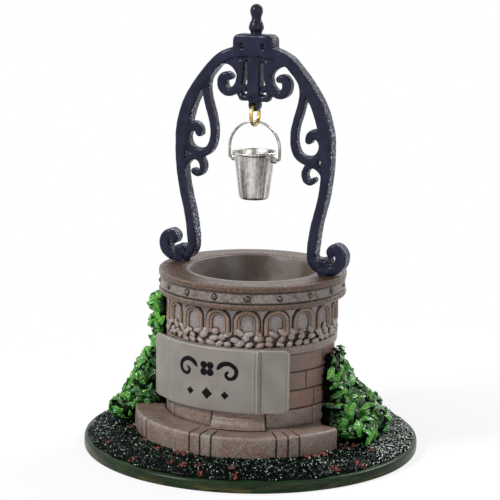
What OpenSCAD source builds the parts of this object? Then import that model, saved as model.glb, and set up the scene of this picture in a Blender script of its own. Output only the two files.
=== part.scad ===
// Tabletop wishing well: a round stone well on a planted base, with a scrolled iron arch
// that carries a small bucket on a jump ring. Millimetres, +Z up, origin at the centre of
// the underside. -Y is the front, with the plaque, and the arch runs along X.

/* [Base] */
// Radius of the round base plate
base_r = 37; // [34:0.5:42]
// Thickness of the base plate
base_t = 2.4; // [1.8:0.1:4]
// Rounding of the base plate's upper edge
base_round = 0.8; // [0.3:0.1:1.2]
// How far the planted ground stays inside the base plate's edge
ground_inset = 1.3; // [1:0.1:2.5]
// Thickness of the planted ground at the well
ground_t = 1.8; // [1.2:0.1:3]
// Thickness of the planted ground at its scalloped border
ground_edge_t = 0.9; // [0.5:0.1:1.1]

/* [Step] */
// Outer radius of the step
step_r = 25.7; // [23:0.1:28]
// Height of the step's tread above the planted ground
step_rise = 4.3; // [3:0.1:6]
// Angle from the front to each end of the step
step_half_angle = 69.5; // [50:0.5:80]
// Rounding of the tread's edge
step_round = 0.5; // [0.2:0.1:1]
// Width of the cut joints in the stonework
joint_w = 0.32; // [0.2:0.02:0.5]
// Depth of the cut joints in the stonework
joint_d = 0.26; // [0.15:0.01:0.35]
// Angle between the groups of three joints in the step
step_group_pitch = 43; // [30:1:45]
// Angle between the joints of a group
step_joint_pitch = 5.8; // [4:0.1:8]

/* [Drum] */
// Radius of the brick drum
drum_r = 18.4; // [17.4:0.1:20]
// How far the foundation course stands proud of the bricks
foundation_proud = 0.45; // [0.2:0.05:1]
// Height of the foundation course above the step's tread
foundation_h = 3.6; // [2.5:0.1:5]
// Height of one course of bricks
brick_h = 4.05; // [3:0.05:5]
// Number of brick courses
brick_rows = 3; // [2:1:4]
// Number of bricks in a course
bricks = 10; // [8:1:14]
// Radius of the cove that joins the front stone to the tread
cove_r = 2.2; // [1.2:0.1:3]
// Height of the plain ledge over the bricks
ledge_h = 1.85; // [1.2:0.05:3]
// How far the ledge stands proud of the bricks
ledge_proud = 0.4; // [0.2:0.05:0.8]

/* [Bands] */
// Height of the pebble band
pebble_h = 2.8; // [2:0.1:4]
// Mean width of a pebble
pebble_d = 1.45; // [1:0.05:1.6]
// Number of pebbles in a row
pebbles = 44; // [36:1:52]
// How far the pebbles stand proud of the bricks
pebble_proud = 0.7; // [0.4:0.05:1]
// Height of the band of arches
arcade_h = 5.5; // [4.5:0.1:7]
// Number of arches round the well, and of studs over them
arches = 18; // [16:1:20]
// Width of one arch over its outer moulding
arch_w = 5.5; // [4.5:0.1:5.6]
// Width of the niche inside an arch
niche_w = 3.1; // [2:0.1:3.4]
// How far the arch mouldings stand proud of the bricks
arch_proud = 0.5; // [0.3:0.05:0.8]
// Height of the rounded moulding over the arches
moulding_h = 1.5; // [1:0.1:2.5]
// Height of the studded band
band_h = 2.35; // [1.8:0.05:3.5]
// How far the studded band stays inside the coping's edge
band_inset = 0.25; // [0.1:0.05:0.6]
// Diameter of a stud's head
stud_d = 1.1; // [0.8:0.05:1.5]
// Diameter of a stud's shank
stud_shank_d = 0.6; // [0.4:0.05:0.7]

/* [Coping and bowl] */
// Outer radius of the coping
coping_r = 20.6; // [19.8:0.1:22.5]
// Height of the coping
coping_h = 1.45; // [1.2:0.05:2.5]
// Rounding of the coping's upper edge
coping_round = 0.4; // [0.2:0.05:0.6]
// Radius of the well's mouth
mouth_r = 14; // [12:0.1:14.4]
// Radius of the bowl at its floor
bowl_floor_r = 11; // [9:0.1:12]
// Thickness of the bowl's wall at the mouth
bowl_wall = 0.9; // [0.7:0.05:1.4]
// Thickness of the bowl's floor
bowl_floor_t = 1.6; // [1:0.1:3]

/* [Plaque] */
// Thickness of the plaque at its middle
plaque_t = 1.6; // [1.2:0.1:2.2]
// Radius of the plaque's curved front
plaque_curve_r = 27; // [24:0.5:34]
// Half the width of the plaque's main panel
panel_half_w = 11.3; // [9:0.1:12.5]
// Width of the ear at each side of the panel
ear_w = 4.9; // [3:0.1:5.2]
// How far the ears lie behind the panel's front
ear_set_back = 0.45; // [0.3:0.05:0.7]
// Rounding of the ears' outer corners
ear_round = 1.1; // [0.5:0.1:2]
// Gap between the plaque and the pebble band
plaque_gap = 0.1; // [0.05:0.05:0.6]
// Angle by which the plaque is turned to the left of the front
plaque_turn = 5; // [0:1:10]
// Height of the painted scrollwork over the plaque
relief_t = 0.12; // [0.08:0.02:0.3]

/* [Hedges] */
// Distance from the base's edge to the furthest reach of the hedges
hedge_inset = 5.4; // [4:0.1:8]
// Radius of the largest lumps of foliage
lump_r = 2.9; // [2.5:0.1:3.2]
// Angle from the front at which the left hedge begins
left_hedge_front = 72; // [71:1:80]
// Angle from the front at which the right hedge begins
right_hedge_front = 85; // [75:1:95]
// Height of the right hedge above the planted ground
right_hedge_h = 19; // [14:0.5:20]
// Height of the left hedge above the planted ground
left_hedge_h = 30; // [22:0.5:30.5]

/* [Iron arch] */
// Reach of the arch's drawn outline to each side
arch_reach = 18.2; // [17.6:0.1:19]
// Rise of the drawn arch above the coping
arch_rise = 48.5; // [46:0.5:52]
// Width of the arch's bar at its crown
post_w = 2; // [1.8:0.05:2.2]
// Width of the inner scrolls where they leave the arch
scroll_w = 1.2; // [1.05:0.05:1.35]
// Depth of the arch bars, front to back
bar_depth = 3.4; // [2.6:0.1:4]
// Depth of the scrolls inside the arch
scroll_depth = 2.3; // [1.8:0.1:2.6]
// Depth of the hanger bar
hanger_depth = 3; // [2.4:0.1:3.2]
// Distance from the coping's edge to the middle of a foot block
foot_inset = 3.5; // [3:0.1:4]
// Width of a foot block
foot_w = 1.9; // [1.5:0.1:2.4]
// Height of a foot block
foot_h = 3.5; // [2.6:0.1:4.2]
// Depth of a foot block
foot_depth = 4.2; // [3.6:0.1:5]
// Diameter of the peg under a foot block
peg_d = 1.2; // [0.8:0.1:1.4]
// Length of the peg under a foot block
peg_l = 1; // [0.6:0.1:1.1]

/* [Crown] */
// Half the width of the crown block
crown_half_w = 4.55; // [4:0.05:5.2]
// Depth of the crown block
crown_depth = 4; // [3.6:0.1:5]
// Height of the crown block over the drawn crown of the arch
crown_rise = 2.3; // [1.8:0.1:3.2]
// Rounding of the crown block's upper corners
crown_round = 1.3; // [0.6:0.1:1.6]
// Diameter of the two eyes through the crown block
eye_d = 1.4; // [1:0.1:1.6]
// Distance from the middle to each eye
eye_x = 2.45; // [2.2:0.05:3]
// Height of the finial
finial_h = 6.6; // [5:0.1:9]
// Greatest diameter of the finial
finial_d = 3.3; // [2.6:0.1:3.8]
// Diameter of the finial's stem in the crown block
stem_d = 1; // [0.7:0.1:1.3]
// Length of the finial's stem
stem_l = 1.2; // [0.8:0.1:1.5]

/* [Hanging gear] */
// Diameter of the jump ring over its wire
ring_od = 5.2; // [4.8:0.1:6]
// Diameter of the ring's wire
ring_wire = 0.8; // [0.6:0.05:1]
// Extra diameter of the hanger's eye over the ring's wire
eye_play = 0.6; // [0.5:0.05:0.8]
// Wall of the hanger's eye round its hole
eye_wall = 0.45; // [0.4:0.05:0.6]
// Depth of the hanger's eye
eye_depth = 2; // [1.6:0.1:2.2]
// Running clearance of hanging pieces on what carries them
run_clear = 0.05; // [0.03:0.01:0.08]
// Width of the bail's strip
bail_w = 0.9; // [0.6:0.05:1.2]
// Thickness of the bail's strip
bail_t = 0.5; // [0.4:0.05:0.7]
// Room between the bucket's rim and the bail's legs
bail_room = 0.75; // [0.6:0.05:1]
// Length of the bail's straight legs, down to the ears
bail_leg = 2.25; // [1.5:0.05:4]
// Diameter of the bail's hooked ends
bail_pin_d = 0.6; // [0.4:0.05:0.7]

/* [Bucket] */
// Height of the bucket
bucket_h = 10.4; // [8:0.1:13]
// Radius of the bucket over its rim
rim_r = 4.9; // [4.4:0.1:5.2]
// Radius of the rolled rim's bead
rim_bead = 0.32; // [0.25:0.01:0.4]
// Radius of the bucket's bottom
bucket_bottom_r = 3.25; // [2.8:0.05:3.8]
// Thickness of the bucket's wall
bucket_wall = 0.4; // [0.3:0.05:0.6]
// Rounding of the bucket's bottom edge
bucket_round = 0.6; // [0.3:0.1:0.9]
// Distance of the ears below the top of the rim
ear_drop = 1.7; // [1.5:0.1:2.5]
// Diameter of the ears on the bucket
bucket_ear_d = 1.5; // [1.3:0.1:1.8]
// Gap between the ears and the bail's legs
ear_gap = 0.35; // [0.3:0.05:0.5]

/* [Hidden] */
$fn = 48;

// Colours
ironwork = "#2b2d3d";
stone = "#8d817c";
brown_stone = "#84705f";
plaque_grey = "#8a8580";

// A cut runs this far past the face that it opens
past = 0.5;
// Clearance between round pieces that fit inside each other
fit = 0.05;
// Room at the end of a peg, stem or shank in its hole
end_room = 0.1;

// Heights of the stack, from the underside up
ground_z = base_t + ground_t;
tread_z = ground_z + step_rise;
foundation_z = tread_z + foundation_h;
brick_z = foundation_z + brick_rows * brick_h;
ledge_z = brick_z + ledge_h;
pebble_z = ledge_z + pebble_h;
arcade_z = pebble_z + arcade_h;
moulding_z = arcade_z + moulding_h;
band_z = moulding_z + band_h;
coping_z = band_z + coping_h;

// Radii of the stack
foundation_r = drum_r + foundation_proud;
ledge_r = drum_r + ledge_proud;
band_r = coping_r - band_inset;
bowl_r = mouth_r + bowl_wall;
core_r = bowl_r + fit;
pebble_r = drum_r + pebble_proud;
arcade_r = drum_r - 0.1;

// Reach of the hedges from the well's axis
hedge_reach = base_r - hedge_inset;

// How far the arches' stonework lies behind the front of their mouldings
arch_base = 1;

// Joints of the stonework, as angles from the front
step_turn = -1.5;
foundation_turn = -3.3;
brick_turns = [-0.8, 27.3, 8.8, 26.8];

// A point of the drawn ironwork, stretched from the reach and rise that it was drawn for
drawn_reach = 18.2;
drawn_rise = 48.5;
function at(x, z, w) = [x * arch_reach / drawn_reach, coping_z + z * arch_rise / drawn_rise, w];
// The same for a point of a scroll, whose width was drawn for scrolls of this width
drawn_scroll_w = 1.2;
function on(x, z, w) = at(x, z, w * scroll_w / drawn_scroll_w);
// The same for a point of the arch itself
drawn_post_w = 2;
function arch(x, z, w) = at(x, z, w * post_w / drawn_post_w);
// A point of a foot, placed from the middle of its block and the coping
foot_x = coping_r - foot_inset;
function by_foot(x, z, w) = [foot_x + x, coping_z + z, w * post_w / drawn_post_w];

// Middle lines of the bars on the right side: across, height over the coping, width
post_keys = [arch(-4.3, 47.05, 2), arch(0, 47.5, 2), arch(4.3, 47.05, 2), arch(7.5, 45.8, 2),
    arch(9.4, 44.1, 2), arch(11.5, 41.6, 2.1), arch(13.5, 38.7, 2.3), arch(15.3, 35.3, 2.5),
    arch(16.65, 30.6, 2.6), arch(17.05, 26.5, 2.3), arch(17.05, 21.4, 1.8), arch(16.3, 16.2, 1.65),
    arch(15.05, 11.2, 1.7), by_foot(-2.7, 7.1, 1.8), by_foot(-2.95, 4.3, 1.7),
    by_foot(-2.75, 3, 1.7), by_foot(-2.05, 1.95, 1.7), by_foot(-1, 1.35, 1.7),
    by_foot(0.3, 1.1, 1.7)];
foot_keys = [by_foot(0, 1.1, 1.6), by_foot(1, 1.05, 1.7), by_foot(2.2, 1.35, 1.8),
    by_foot(3.4, 2.3, 2), by_foot(3.85, 3.8, 2.1), by_foot(3.5, 5.3, 2),
    by_foot(2.35, 6.05, 1.8), by_foot(1.45, 5.35, 1.5), by_foot(1.5, 4.5, 1.1)];
inner_keys = [on(10.5, 42.5, 1.2), on(11.2, 40.3, 1.2), on(11.25, 37.8, 1.25),
    on(10.65, 35.1, 1.25), on(9.85, 32.5, 1.2), on(9.4, 29.8, 1.2), on(9.6, 27.3, 1.25),
    on(10.6, 25.4, 1.4), on(12.5, 24.55, 1.6), on(14.6, 25.1, 1.4), on(15.75, 26.6, 1.2),
    on(16, 28.3, 1.3), on(15.5, 29.7, 1.7), on(14.4, 30.35, 1.9), on(13.3, 30, 1.6),
    on(12.85, 28.9, 1.3)];
curl_keys = [on(16.9, 20.7, 0.9), on(15.9, 22.4, 0.9), on(14.2, 23.65, 1),
    on(12.7, 23.2, 1), on(12, 21.7, 0.95), on(12.35, 20.35, 0.9), on(13.35, 19.8, 0.85),
    on(14.2, 20.5, 0.85)];
crown_keys = [on(3.25, 46.3, 1.3), on(3.25, 43.8, 1.25), on(3.3, 41.9, 1.2),
    on(3.75, 40, 1.25), on(4.9, 38.6, 1.4), on(6.2, 38.25, 1.45), on(7.3, 39.05, 1.7),
    on(7.6, 40.4, 1.8), on(7.2, 41.5, 1.6), on(6.45, 41.85, 1.4), on(5.8, 41.6, 1.2)];
volute_keys = [on(0.8, 37.35, 0.9), on(2.3, 37.2, 0.85), on(3.4, 37.75, 0.8),
    on(3.6, 38.8, 0.75), on(2.8, 39.5, 0.7), on(2.05, 39.1, 0.65)];
// Steps drawn between two points of a middle line, and round the end of a bar
curve_steps = 4;
cap_step = 30;

// The web between the arch and the crown scroll
web_mid = at(7.1, 41.3, 0);
web_gap_r = 3.2;
web_low = 45.3;

// The hanger and what hangs from it
hanger_half_w = 1.1;
eye_r = (ring_wire + eye_play) / 2;
eye_z = at(0, 35.7, 0).y;
ring_r = (ring_od - ring_wire) / 2;
ring_in = ring_r - ring_wire / 2;
ring_z = eye_z - eye_r + 2 * run_clear - sqrt(pow(ring_in, 2) - pow(eye_depth / 2, 2));
bail_half = rim_r + bail_room + bail_t / 2;
bail_crown_z = ring_z - sqrt(pow(ring_in, 2) - pow(bail_w / 2, 2)) + run_clear + bail_t / 2;
bail_arc_z = bail_crown_z - bail_half;
ear_z = bail_arc_z - bail_leg;
bucket_z = ear_z + ear_drop - bucket_h;
ear_face = bail_half - bail_t / 2 - ear_gap;
pin_in = 1;
crown_z = coping_z + arch_rise + crown_rise;

// A smooth line through the given points, each with a width
function blend(a, b, c, d, t) = 0.5 * (2 * b + (c - a) * t
    + (2 * a - 5 * b + 4 * c - d) * t * t + (3 * b - a - 3 * c + d) * t * t * t);
function smooth(k) = concat([for (i = [0:len(k) - 2], j = [0:curve_steps - 1])
    blend(k[max(i - 1, 0)], k[i], k[i + 1], k[min(i + 2, len(k) - 1)], j / curve_steps)],
    [k[len(k) - 1]]);
function along(p, i) = atan2(p[min(i + 1, len(p) - 1)].y - p[max(i - 1, 0)].y,
    p[min(i + 1, len(p) - 1)].x - p[max(i - 1, 0)].x);
function edge(p, s) = [for (i = [0:len(p) - 1])
    [p[i].x, p[i].y] + p[i].z / 2 * [cos(along(p, i) + s * 90), sin(along(p, i) + s * 90)]];
function cap(p) = let(e = p[len(p) - 1], a = along(p, len(p) - 1))
    [for (t = [90 - cap_step:-cap_step:cap_step - 90])
        [e.x, e.y] + e.z / 2 * [cos(a + t), sin(a + t)]];
function flipped(v) = [for (i = [len(v) - 1:-1:0]) v[i]];

// A bar's outline: a flat start and a round end
module bar(keys) {
    p = smooth(keys);
    polygon(concat(edge(p, 1), cap(p), flipped(edge(p, -1))));
}

// Stands a drawing of the ironwork up, centred on the arch's plane
module stand(depth) {
    rotate([90, 0, 0]) linear_extrude(depth, center = true) children();
}

// A ring of stone with a plain outside
module ring(r, z0, z1, inside) {
    translate([0, 0, z0]) difference() {
        cylinder(r = r, h = z1 - z0);
        translate([0, 0, -past]) cylinder(r = inside, h = z1 - z0 + 2 * past);
    }
}

// A cutter for an upright joint at an angle from the front, between two radii
module joint(angle, r0, r1, z0, z1) {
    rotate([0, 0, angle - 90]) translate([r0, -joint_w / 2, z0]) cube([r1 - r0, joint_w, z1 - z0]);
}

module base_plate() {
    color("#1f3d25") rotate_extrude() union() {
        square([base_r - base_round, base_t]);
        square([base_r, base_t - base_round]);
        translate([base_r - base_round, base_t - base_round]) circle(base_round);
    }
}

// The scalloped border of the planted ground
border_waves = 23;
border_depth = 0.28;
function border(a) = base_r - ground_inset + border_depth * (sin(border_waves * a)
    + sin(7 * a + 40));

module ground_cover() {
    color("#15281b") difference() {
        union() {
            translate([0, 0, base_t]) linear_extrude(ground_edge_t)
                polygon([for (a = [0:3:357]) border(a) * [cos(a), sin(a)]]);
            translate([0, 0, base_t]) cylinder(r1 = base_r - ground_inset - 1,
                r2 = base_r - ground_inset - 2.6, h = ground_t);
        }
        translate([0, 0, base_t - past]) cylinder(r = foundation_r + fit, h = ground_t + 2 * past);
        rotate([0, 0, -90 - step_half_angle]) translate([0, 0, base_t - past])
            rotate_extrude(angle = 2 * step_half_angle)
                square([step_r + fit, ground_t + 2 * past]);
    }
}

module step() {
    color(stone) difference() {
        rotate([0, 0, -90 - step_half_angle]) translate([0, 0, base_t])
            rotate_extrude(angle = 2 * step_half_angle) difference() {
                union() {
                    square([step_r - step_round, tread_z - base_t]);
                    square([step_r, tread_z - base_t - step_round]);
                    translate([step_r - step_round, tread_z - base_t - step_round])
                        circle(step_round);
                }
                translate([-1, -1]) square([foundation_r + fit + 1, tread_z + 1]);
            }
        for (g = [-1:1], j = [-1:1]) {
            a = step_turn + g * step_group_pitch + j * step_joint_pitch;
            joint(a, foundation_r + cove_r, step_r + past, tread_z - joint_d, tread_z + past);
            joint(a, step_r - joint_d, step_r + past, ground_z, tread_z);
        }
    }
}

module foundation_course() {
    color(stone) difference() {
        translate([0, 0, base_t]) cylinder(r = foundation_r, h = foundation_z - base_t);
        for (i = [0:bricks - 1])
            joint(foundation_turn + i * 360 / bricks, foundation_r - joint_d,
                foundation_r + past, tread_z + fit, foundation_z + past);
    }
}

module cove_stone() {
    inset = asin(joint_w / 2 / foundation_r);
    color(stone) rotate([0, 0, -90 + foundation_turn + inset]) translate([0, 0, tread_z])
        rotate_extrude(angle = 360 / bricks - 2 * inset) difference() {
            translate([foundation_r, 0]) square([cove_r, cove_r]);
            translate([foundation_r + cove_r, cove_r]) circle(cove_r - joint_d);
        }
}

module brick_drum() {
    color(brown_stone) difference() {
        translate([0, 0, foundation_z]) cylinder(r = drum_r, h = brick_z - foundation_z);
        for (k = [0:brick_rows - 1]) {
            z = foundation_z + k * brick_h;
            ring(drum_r + past, z - joint_w / 2, z + joint_w / 2, drum_r - joint_d);
            for (i = [0:bricks - 1])
                joint(brick_turns[k] + i * 360 / bricks, drum_r - joint_d, drum_r + past,
                    z, z + brick_h);
        }
    }
}

module ledge() {
    color(stone) ring(ledge_r, brick_z, ledge_z, core_r);
}

// Two staggered rows of cobbles of uneven size
module pebble_band() {
    color("#8b7f80") union() {
        ring(drum_r, ledge_z, pebble_z, core_r);
        for (k = [0:1], i = [0:pebbles - 1]) {
            w = pebble_d * (1 + 0.1 * sin(i * 137 + k * 70));
            z = k > 0 ? pebble_z - 0.56 * pebble_d : ledge_z + 0.56 * pebble_d;
            rotate([0, 0, (i + k / 2) * 360 / pebbles]) translate([drum_r - pebble_proud, 0, z])
                    rotate([0, 90, 0]) rotate([0, 0, i * 47]) cylinder(d = w,
                        h = pebble_proud * (1.8 + 0.2 * sin(i * 83 + k * 50)), $fn = 7);
        }
    }
}

// The outline of an arch of a given width, open at its foot
module arch_outline(w, lift) {
    h = arcade_h - lift - w / 2;
    translate([-w / 2, -past]) square([w, h + past]);
    translate([0, h]) circle(w / 2);
}

module arch_moulding(w0, w1, lift, proud) {
    translate([0, 0, pebble_z]) rotate([90, 0, 90]) translate([0, 0, arcade_r - arch_base])
        linear_extrude(arch_base + proud) intersection() {
            difference() {
                arch_outline(w0, lift);
                arch_outline(w1, lift + (w0 - w1) / 2);
            }
            translate([-w0, 0]) square([2 * w0, arcade_h]);
        }
}

module arcade_band() {
    middle_w = (arch_w + niche_w) / 2;
    color("#94837a") union() {
        ring(arcade_r, pebble_z, arcade_z, core_r);
        for (i = [0:arches - 1]) rotate([0, 0, -90 + i * 360 / arches]) {
            arch_moulding(arch_w, middle_w, 0.1, arch_proud + 0.1);
            arch_moulding(middle_w + 0.2, niche_w, (arch_w - middle_w) / 2, arch_proud / 2);
        }
    }
}

module moulding() {
    lip = moulding_h / 2;
    color(brown_stone) rotate_extrude() difference() {
        union() {
            translate([core_r, arcade_z]) square([coping_r - lip - core_r, moulding_h]);
            translate([coping_r - lip, arcade_z + lip]) circle(lip);
        }
        translate([0, arcade_z]) square([core_r, moulding_h]);
    }
}

module stud_holes(d, depth) {
    for (i = [0:arches - 1]) rotate([0, 0, -90 + i * 360 / arches])
        translate([band_r - depth, 0, moulding_z + band_h / 2]) rotate([0, 90, 0])
            cylinder(d = d, h = depth + past);
}

module stud_band() {
    color("#8d8581") difference() {
        ring(band_r, moulding_z, band_z, core_r);
        stud_holes(stud_shank_d + fit, stud_shank_d + end_room);
    }
}

module studs() {
    head = stud_d / 2;
    color("#3b3434") for (i = [0:arches - 1]) rotate([0, 0, -90 + i * 360 / arches])
        translate([band_r, 0, moulding_z + band_h / 2]) rotate([0, 90, 0]) rotate_extrude()
            union() {
                translate([0, -stud_shank_d]) square([stud_shank_d / 2, stud_shank_d + fit]);
                intersection() {
                    translate([0, -head * 0.4]) circle(head * 1.08);
                    square([head, head]);
                }
            }
}

module coping() {
    color(brown_stone) difference() {
        translate([0, 0, band_z]) rotate_extrude() difference() {
            union() {
                square([coping_r - coping_round, coping_h]);
                square([coping_r, coping_h - coping_round]);
                translate([coping_r - coping_round, coping_h - coping_round])
                    circle(coping_round);
            }
            translate([-1, -1]) square([core_r + 1, coping_h + 2]);
        }
        for (s = [-1, 1]) translate([s * foot_x, 0, coping_z - peg_l - end_room])
            cylinder(d = peg_d + fit, h = peg_l + end_room + past);
    }
}

module bowl() {
    floor_z = brick_z + bowl_floor_t;
    color("#7c726c") difference() {
        translate([0, 0, brick_z]) cylinder(r = bowl_r, h = coping_z - brick_z);
        translate([0, 0, floor_z]) cylinder(r1 = bowl_floor_r, r2 = mouth_r,
            h = coping_z - floor_z);
        translate([0, 0, coping_z]) cylinder(r = mouth_r, h = past, center = true);
    }
}

plaque_r = drum_r + plaque_t;
plaque_h = ledge_z - plaque_gap - foundation_z;

// Places a drawing of the plaque: X outwards from the well, Y to the right
module on_plaque() {
    rotate([0, 0, -90 - plaque_turn]) translate([0, 0, foundation_z]) children();
}

// The plaque's curved plan between two distances from its middle line
module plaque_plan(y0, y1, back) {
    intersection() {
        translate([plaque_r - plaque_curve_r, 0]) circle(plaque_curve_r - back, $fn = 120);
        translate([0, y0]) square([plaque_r + past, y1 - y0]);
    }
}

// What the plaque is hollowed by: the bricks and the ledge over them
module behind_plaque() {
    translate([0, 0, -past]) cylinder(r = drum_r + fit, h = plaque_h + 2 * past);
    translate([0, 0, brick_z - foundation_z - fit]) cylinder(r = ledge_r + fit,
        h = ledge_h + fit + past);
}

module plaque_panel() {
    bead = ear_set_back;
    bead_x = plaque_r - plaque_curve_r + sqrt(pow(plaque_curve_r, 2) - pow(panel_half_w, 2));
    color(plaque_grey) on_plaque() difference() {
        linear_extrude(plaque_h) union() {
            plaque_plan(-panel_half_w, panel_half_w, 0);
            for (s = [-1, 1]) translate([bead_x - bead, s * (panel_half_w - bead)]) circle(bead * 1.35);
        }
        behind_plaque();
        for (s = [-1, 1]) translate([-past, s > 0 ? panel_half_w : -panel_half_w - past, -past])
            cube([plaque_r + 2 * past, past, plaque_h + 2 * past]);
    }
}

module plaque_ear(s) {
    w = panel_half_w + ear_w;
    color(plaque_grey) on_plaque() scale([1, 1, 1]) mirror([0, s < 0 ? 1 : 0, 0])
        difference() {
            intersection() {
                linear_extrude(plaque_h) plaque_plan(panel_half_w, w, ear_set_back);
                rotate([90, 0, 90]) linear_extrude(plaque_r + past) union() {
                    translate([panel_half_w - past, 0])
                        square([ear_w + past - ear_round, plaque_h]);
                    translate([panel_half_w, ear_round])
                        square([ear_w, plaque_h - 2 * ear_round]);
                    for (z = [ear_round, plaque_h - ear_round])
                        translate([w - ear_round, z]) circle(ear_round);
                }
            }
            behind_plaque();
        }
}

module left_plaque_ear() {
    plaque_ear(-1);
}

module right_plaque_ear() {
    plaque_ear(1);
}

// A generic painted flourish: a four-leaved flower between scrolls, over a lozenge row
flourish_keys = [[2.4, 2.3, 0.9], [3.6, 3.5, 1.1], [5.2, 3.7, 1], [6.6, 2.6, 0.9],
    [6.4, 1, 0.9], [5.1, 0.5, 0.8], [4.4, 1.3, 0.7], [5, 2.1, 0.6]];
flower_petal = 0.85;

module flourish() {
    for (s = [0, 1]) mirror([s, 0]) {
        bar(flourish_keys);
        translate([4.2, -3.2]) rotate(45) square(1.3, center = true);
    }
    translate([0, 2.2]) for (a = [0:90:270]) rotate(a + 45) translate([1.05, 0])
        circle(flower_petal);
    translate([0, -3.2]) scale([1, 1]) rotate(45) square(1.9, center = true);
}

module plaque_scrollwork() {
    color("#17161a") on_plaque() intersection() {
        translate([plaque_r - plaque_curve_r, 0, 0]) difference() {
            cylinder(r = plaque_curve_r + relief_t, h = plaque_h);
            translate([0, 0, -past]) cylinder(r = plaque_curve_r, h = plaque_h + 2 * past);
        }
        translate([drum_r - 2, 0, plaque_h / 2]) rotate([90, 0, 90])
            linear_extrude(plaque_t + 3) flourish();
    }
}

// Rows of foliage that climb against the well. Each row: height as a share of the hedge's,
// reach as a share of the way from the wall to the hedge's, radius where the largest lump is
// of the drawn radius, last angle, number of lumps
drawn_lump_r = 2.9;
right_rows = [[0.13, 0.91, 2.9, 138, 7], [0.33, 0.591, 2.6, 130, 6], [0.53, 0.335, 2.4, 122, 5],
    [0.71, 0.207, 2.2, 113, 4], [0.88, 0.104, 2, 103, 3]];
left_rows = [[0.08, 0.974, 2.9, 140, 8], [0.22, 0.808, 2.8, 136, 7], [0.35, 0.642, 2.6, 130, 6],
    [0.48, 0.437, 2.5, 122, 5], [0.62, 0.322, 2.4, 112, 4], [0.76, 0.296, 2.3, 102, 3],
    [0.89, 0.258, 2.3, 94, 3]];

module lump(row, share, height, front, seed) {
    wave = sin(seed + share * 700 + row[0] * 900);
    plain = row[2] * lump_r / drawn_lump_r;
    size = plain * (1 + 0.12 * sin(seed + share * 900 + row[0] * 500));
    wall = max(ledge_r, pebble_r + 0.2) + fit;
    out = (wall + (hedge_reach - wall) * row[1] - plain) * (1 + 0.02 * wave);
    rotate([0, 0, front + (row[3] - front) * share - 90]) hull() {
        translate([out, 0, ground_z + height * row[0] + 0.3 * wave])
            rotate([0, 0, 60 * share]) sphere(size, $fn = 9);
        translate([min(out, ledge_r), 0, ground_z + height * row[0] + 0.6])
            sphere(plain, $fn = 8);
    }
}

module hedge(rows, height, front, seed) {
    color("#2f8a2c") difference() {
        union() for (row = rows, i = [0:row[4] - 1])
            lump(row, i / (row[4] - 1), height, front, seed);
        translate([0, 0, -past]) cylinder(r = base_r + past, h = ground_z + past);
        cylinder(r = foundation_r + fit, h = foundation_z);
        cylinder(r = max(ledge_r, pebble_r + 0.2) + fit, h = coping_z);
        translate([0, 0, arcade_z - fit]) cylinder(r = coping_r + fit, h = coping_z);
        rotate([0, 0, -90 - step_half_angle]) rotate_extrude(angle = 2 * step_half_angle)
            square([step_r + fit, tread_z + fit]);
    }
}

module left_hedge() {
    mirror([1, 0, 0]) hedge(left_rows, left_hedge_h, left_hedge_front, 20);
}

module right_hedge() {
    hedge(right_rows, right_hedge_h, right_hedge_front, 75);
}

// Outlines of the right half of the ironwork, in the arch's plane
module foot_block_outline() {
    translate([foot_x - foot_w / 2, coping_z]) square([foot_w, foot_h]);
}

module crown_cut() {
    translate([-crown_half_w, coping_z]) square([2 * crown_half_w, 2 * arch_rise]);
}

module post_outline() {
    difference() {
        bar(post_keys);
        crown_cut();
        translate([foot_x - foot_w / 2, 0]) square([foot_w + past, coping_z + foot_h]);
    }
}

module foot_scroll_outline() {
    difference() {
        bar(foot_keys);
        foot_block_outline();
    }
}

// The block reaches down to the inner line of the arch
module crown_outline() {
    low = crown_z - crown_rise - 4;
    inner = [for (q = edge(smooth(post_keys), -1)) if (q.x > 0.2 && q.y > low) q];
    difference() {
        union() {
            translate([-crown_half_w, low])
                square([2 * crown_half_w, crown_z - low - crown_round]);
            translate([crown_round - crown_half_w, low])
                square([2 * (crown_half_w - crown_round), crown_z - low]);
            for (s = [-1, 1])
                translate([s * (crown_half_w - crown_round), crown_z - crown_round])
                    circle(crown_round);
        }
        polygon(concat(inner, [[inner[len(inner) - 1].x, low - 1],
            [-inner[len(inner) - 1].x, low - 1]], [for (q = flipped(inner)) [-q.x, q.y]]));
    }
}

module hanger_outline() {
    difference() {
        union() {
            translate([-hanger_half_w, eye_z]) square([2 * hanger_half_w, crown_z - eye_z]);
            translate([0, eye_z]) circle(max(eye_r + eye_wall, hanger_half_w));
        }
        bar(post_keys);
        mirror([1, 0]) bar(post_keys);
        crown_cut_above();
    }
}

module inner_outline() {
    difference() {
        bar(inner_keys);
        bar(post_keys);
    }
}

module curl_outline() {
    difference() {
        bar(curl_keys);
        bar(post_keys);
        bar(inner_keys);
    }
}

// The web between the arch and the crown scroll, round a nearly circular gap
module web_outline() {
    top = at(0, web_low, 0).y;
    stem = crown_keys[1].x;
    start = [web_mid.x, web_mid.y] + web_gap_r * [cos(160), sin(160)];
    over = [for (q = flipped(smooth(post_keys)))
        if (q.x > hanger_half_w && q.x < web_mid.x + web_gap_r / 2 && q.y > top) [q.x, q.y]];
    difference() {
        polygon(concat([[hanger_half_w, top], [stem, top], [stem, start.y - 0.3]],
            [for (a = [160:-5:55]) [web_mid.x, web_mid.y] + web_gap_r * [cos(a), sin(a)]],
            over, [[hanger_half_w, over[len(over) - 1].y]]));
        bar(post_keys);
        crown_cut_above();
    }
}

module crown_scroll_outline() {
    difference() {
        bar(crown_keys);
        bar(post_keys);
        crown_cut_above();
    }
}

// The band of the crown block that the scrolls stop at
module crown_cut_above() {
    translate([-crown_half_w, at(0, 46.8, 0).y]) square([2 * crown_half_w, arch_rise]);
}

module volute_outline() {
    difference() {
        bar(volute_keys);
        hanger_outline();
        bar(crown_keys);
    }
}

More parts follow.
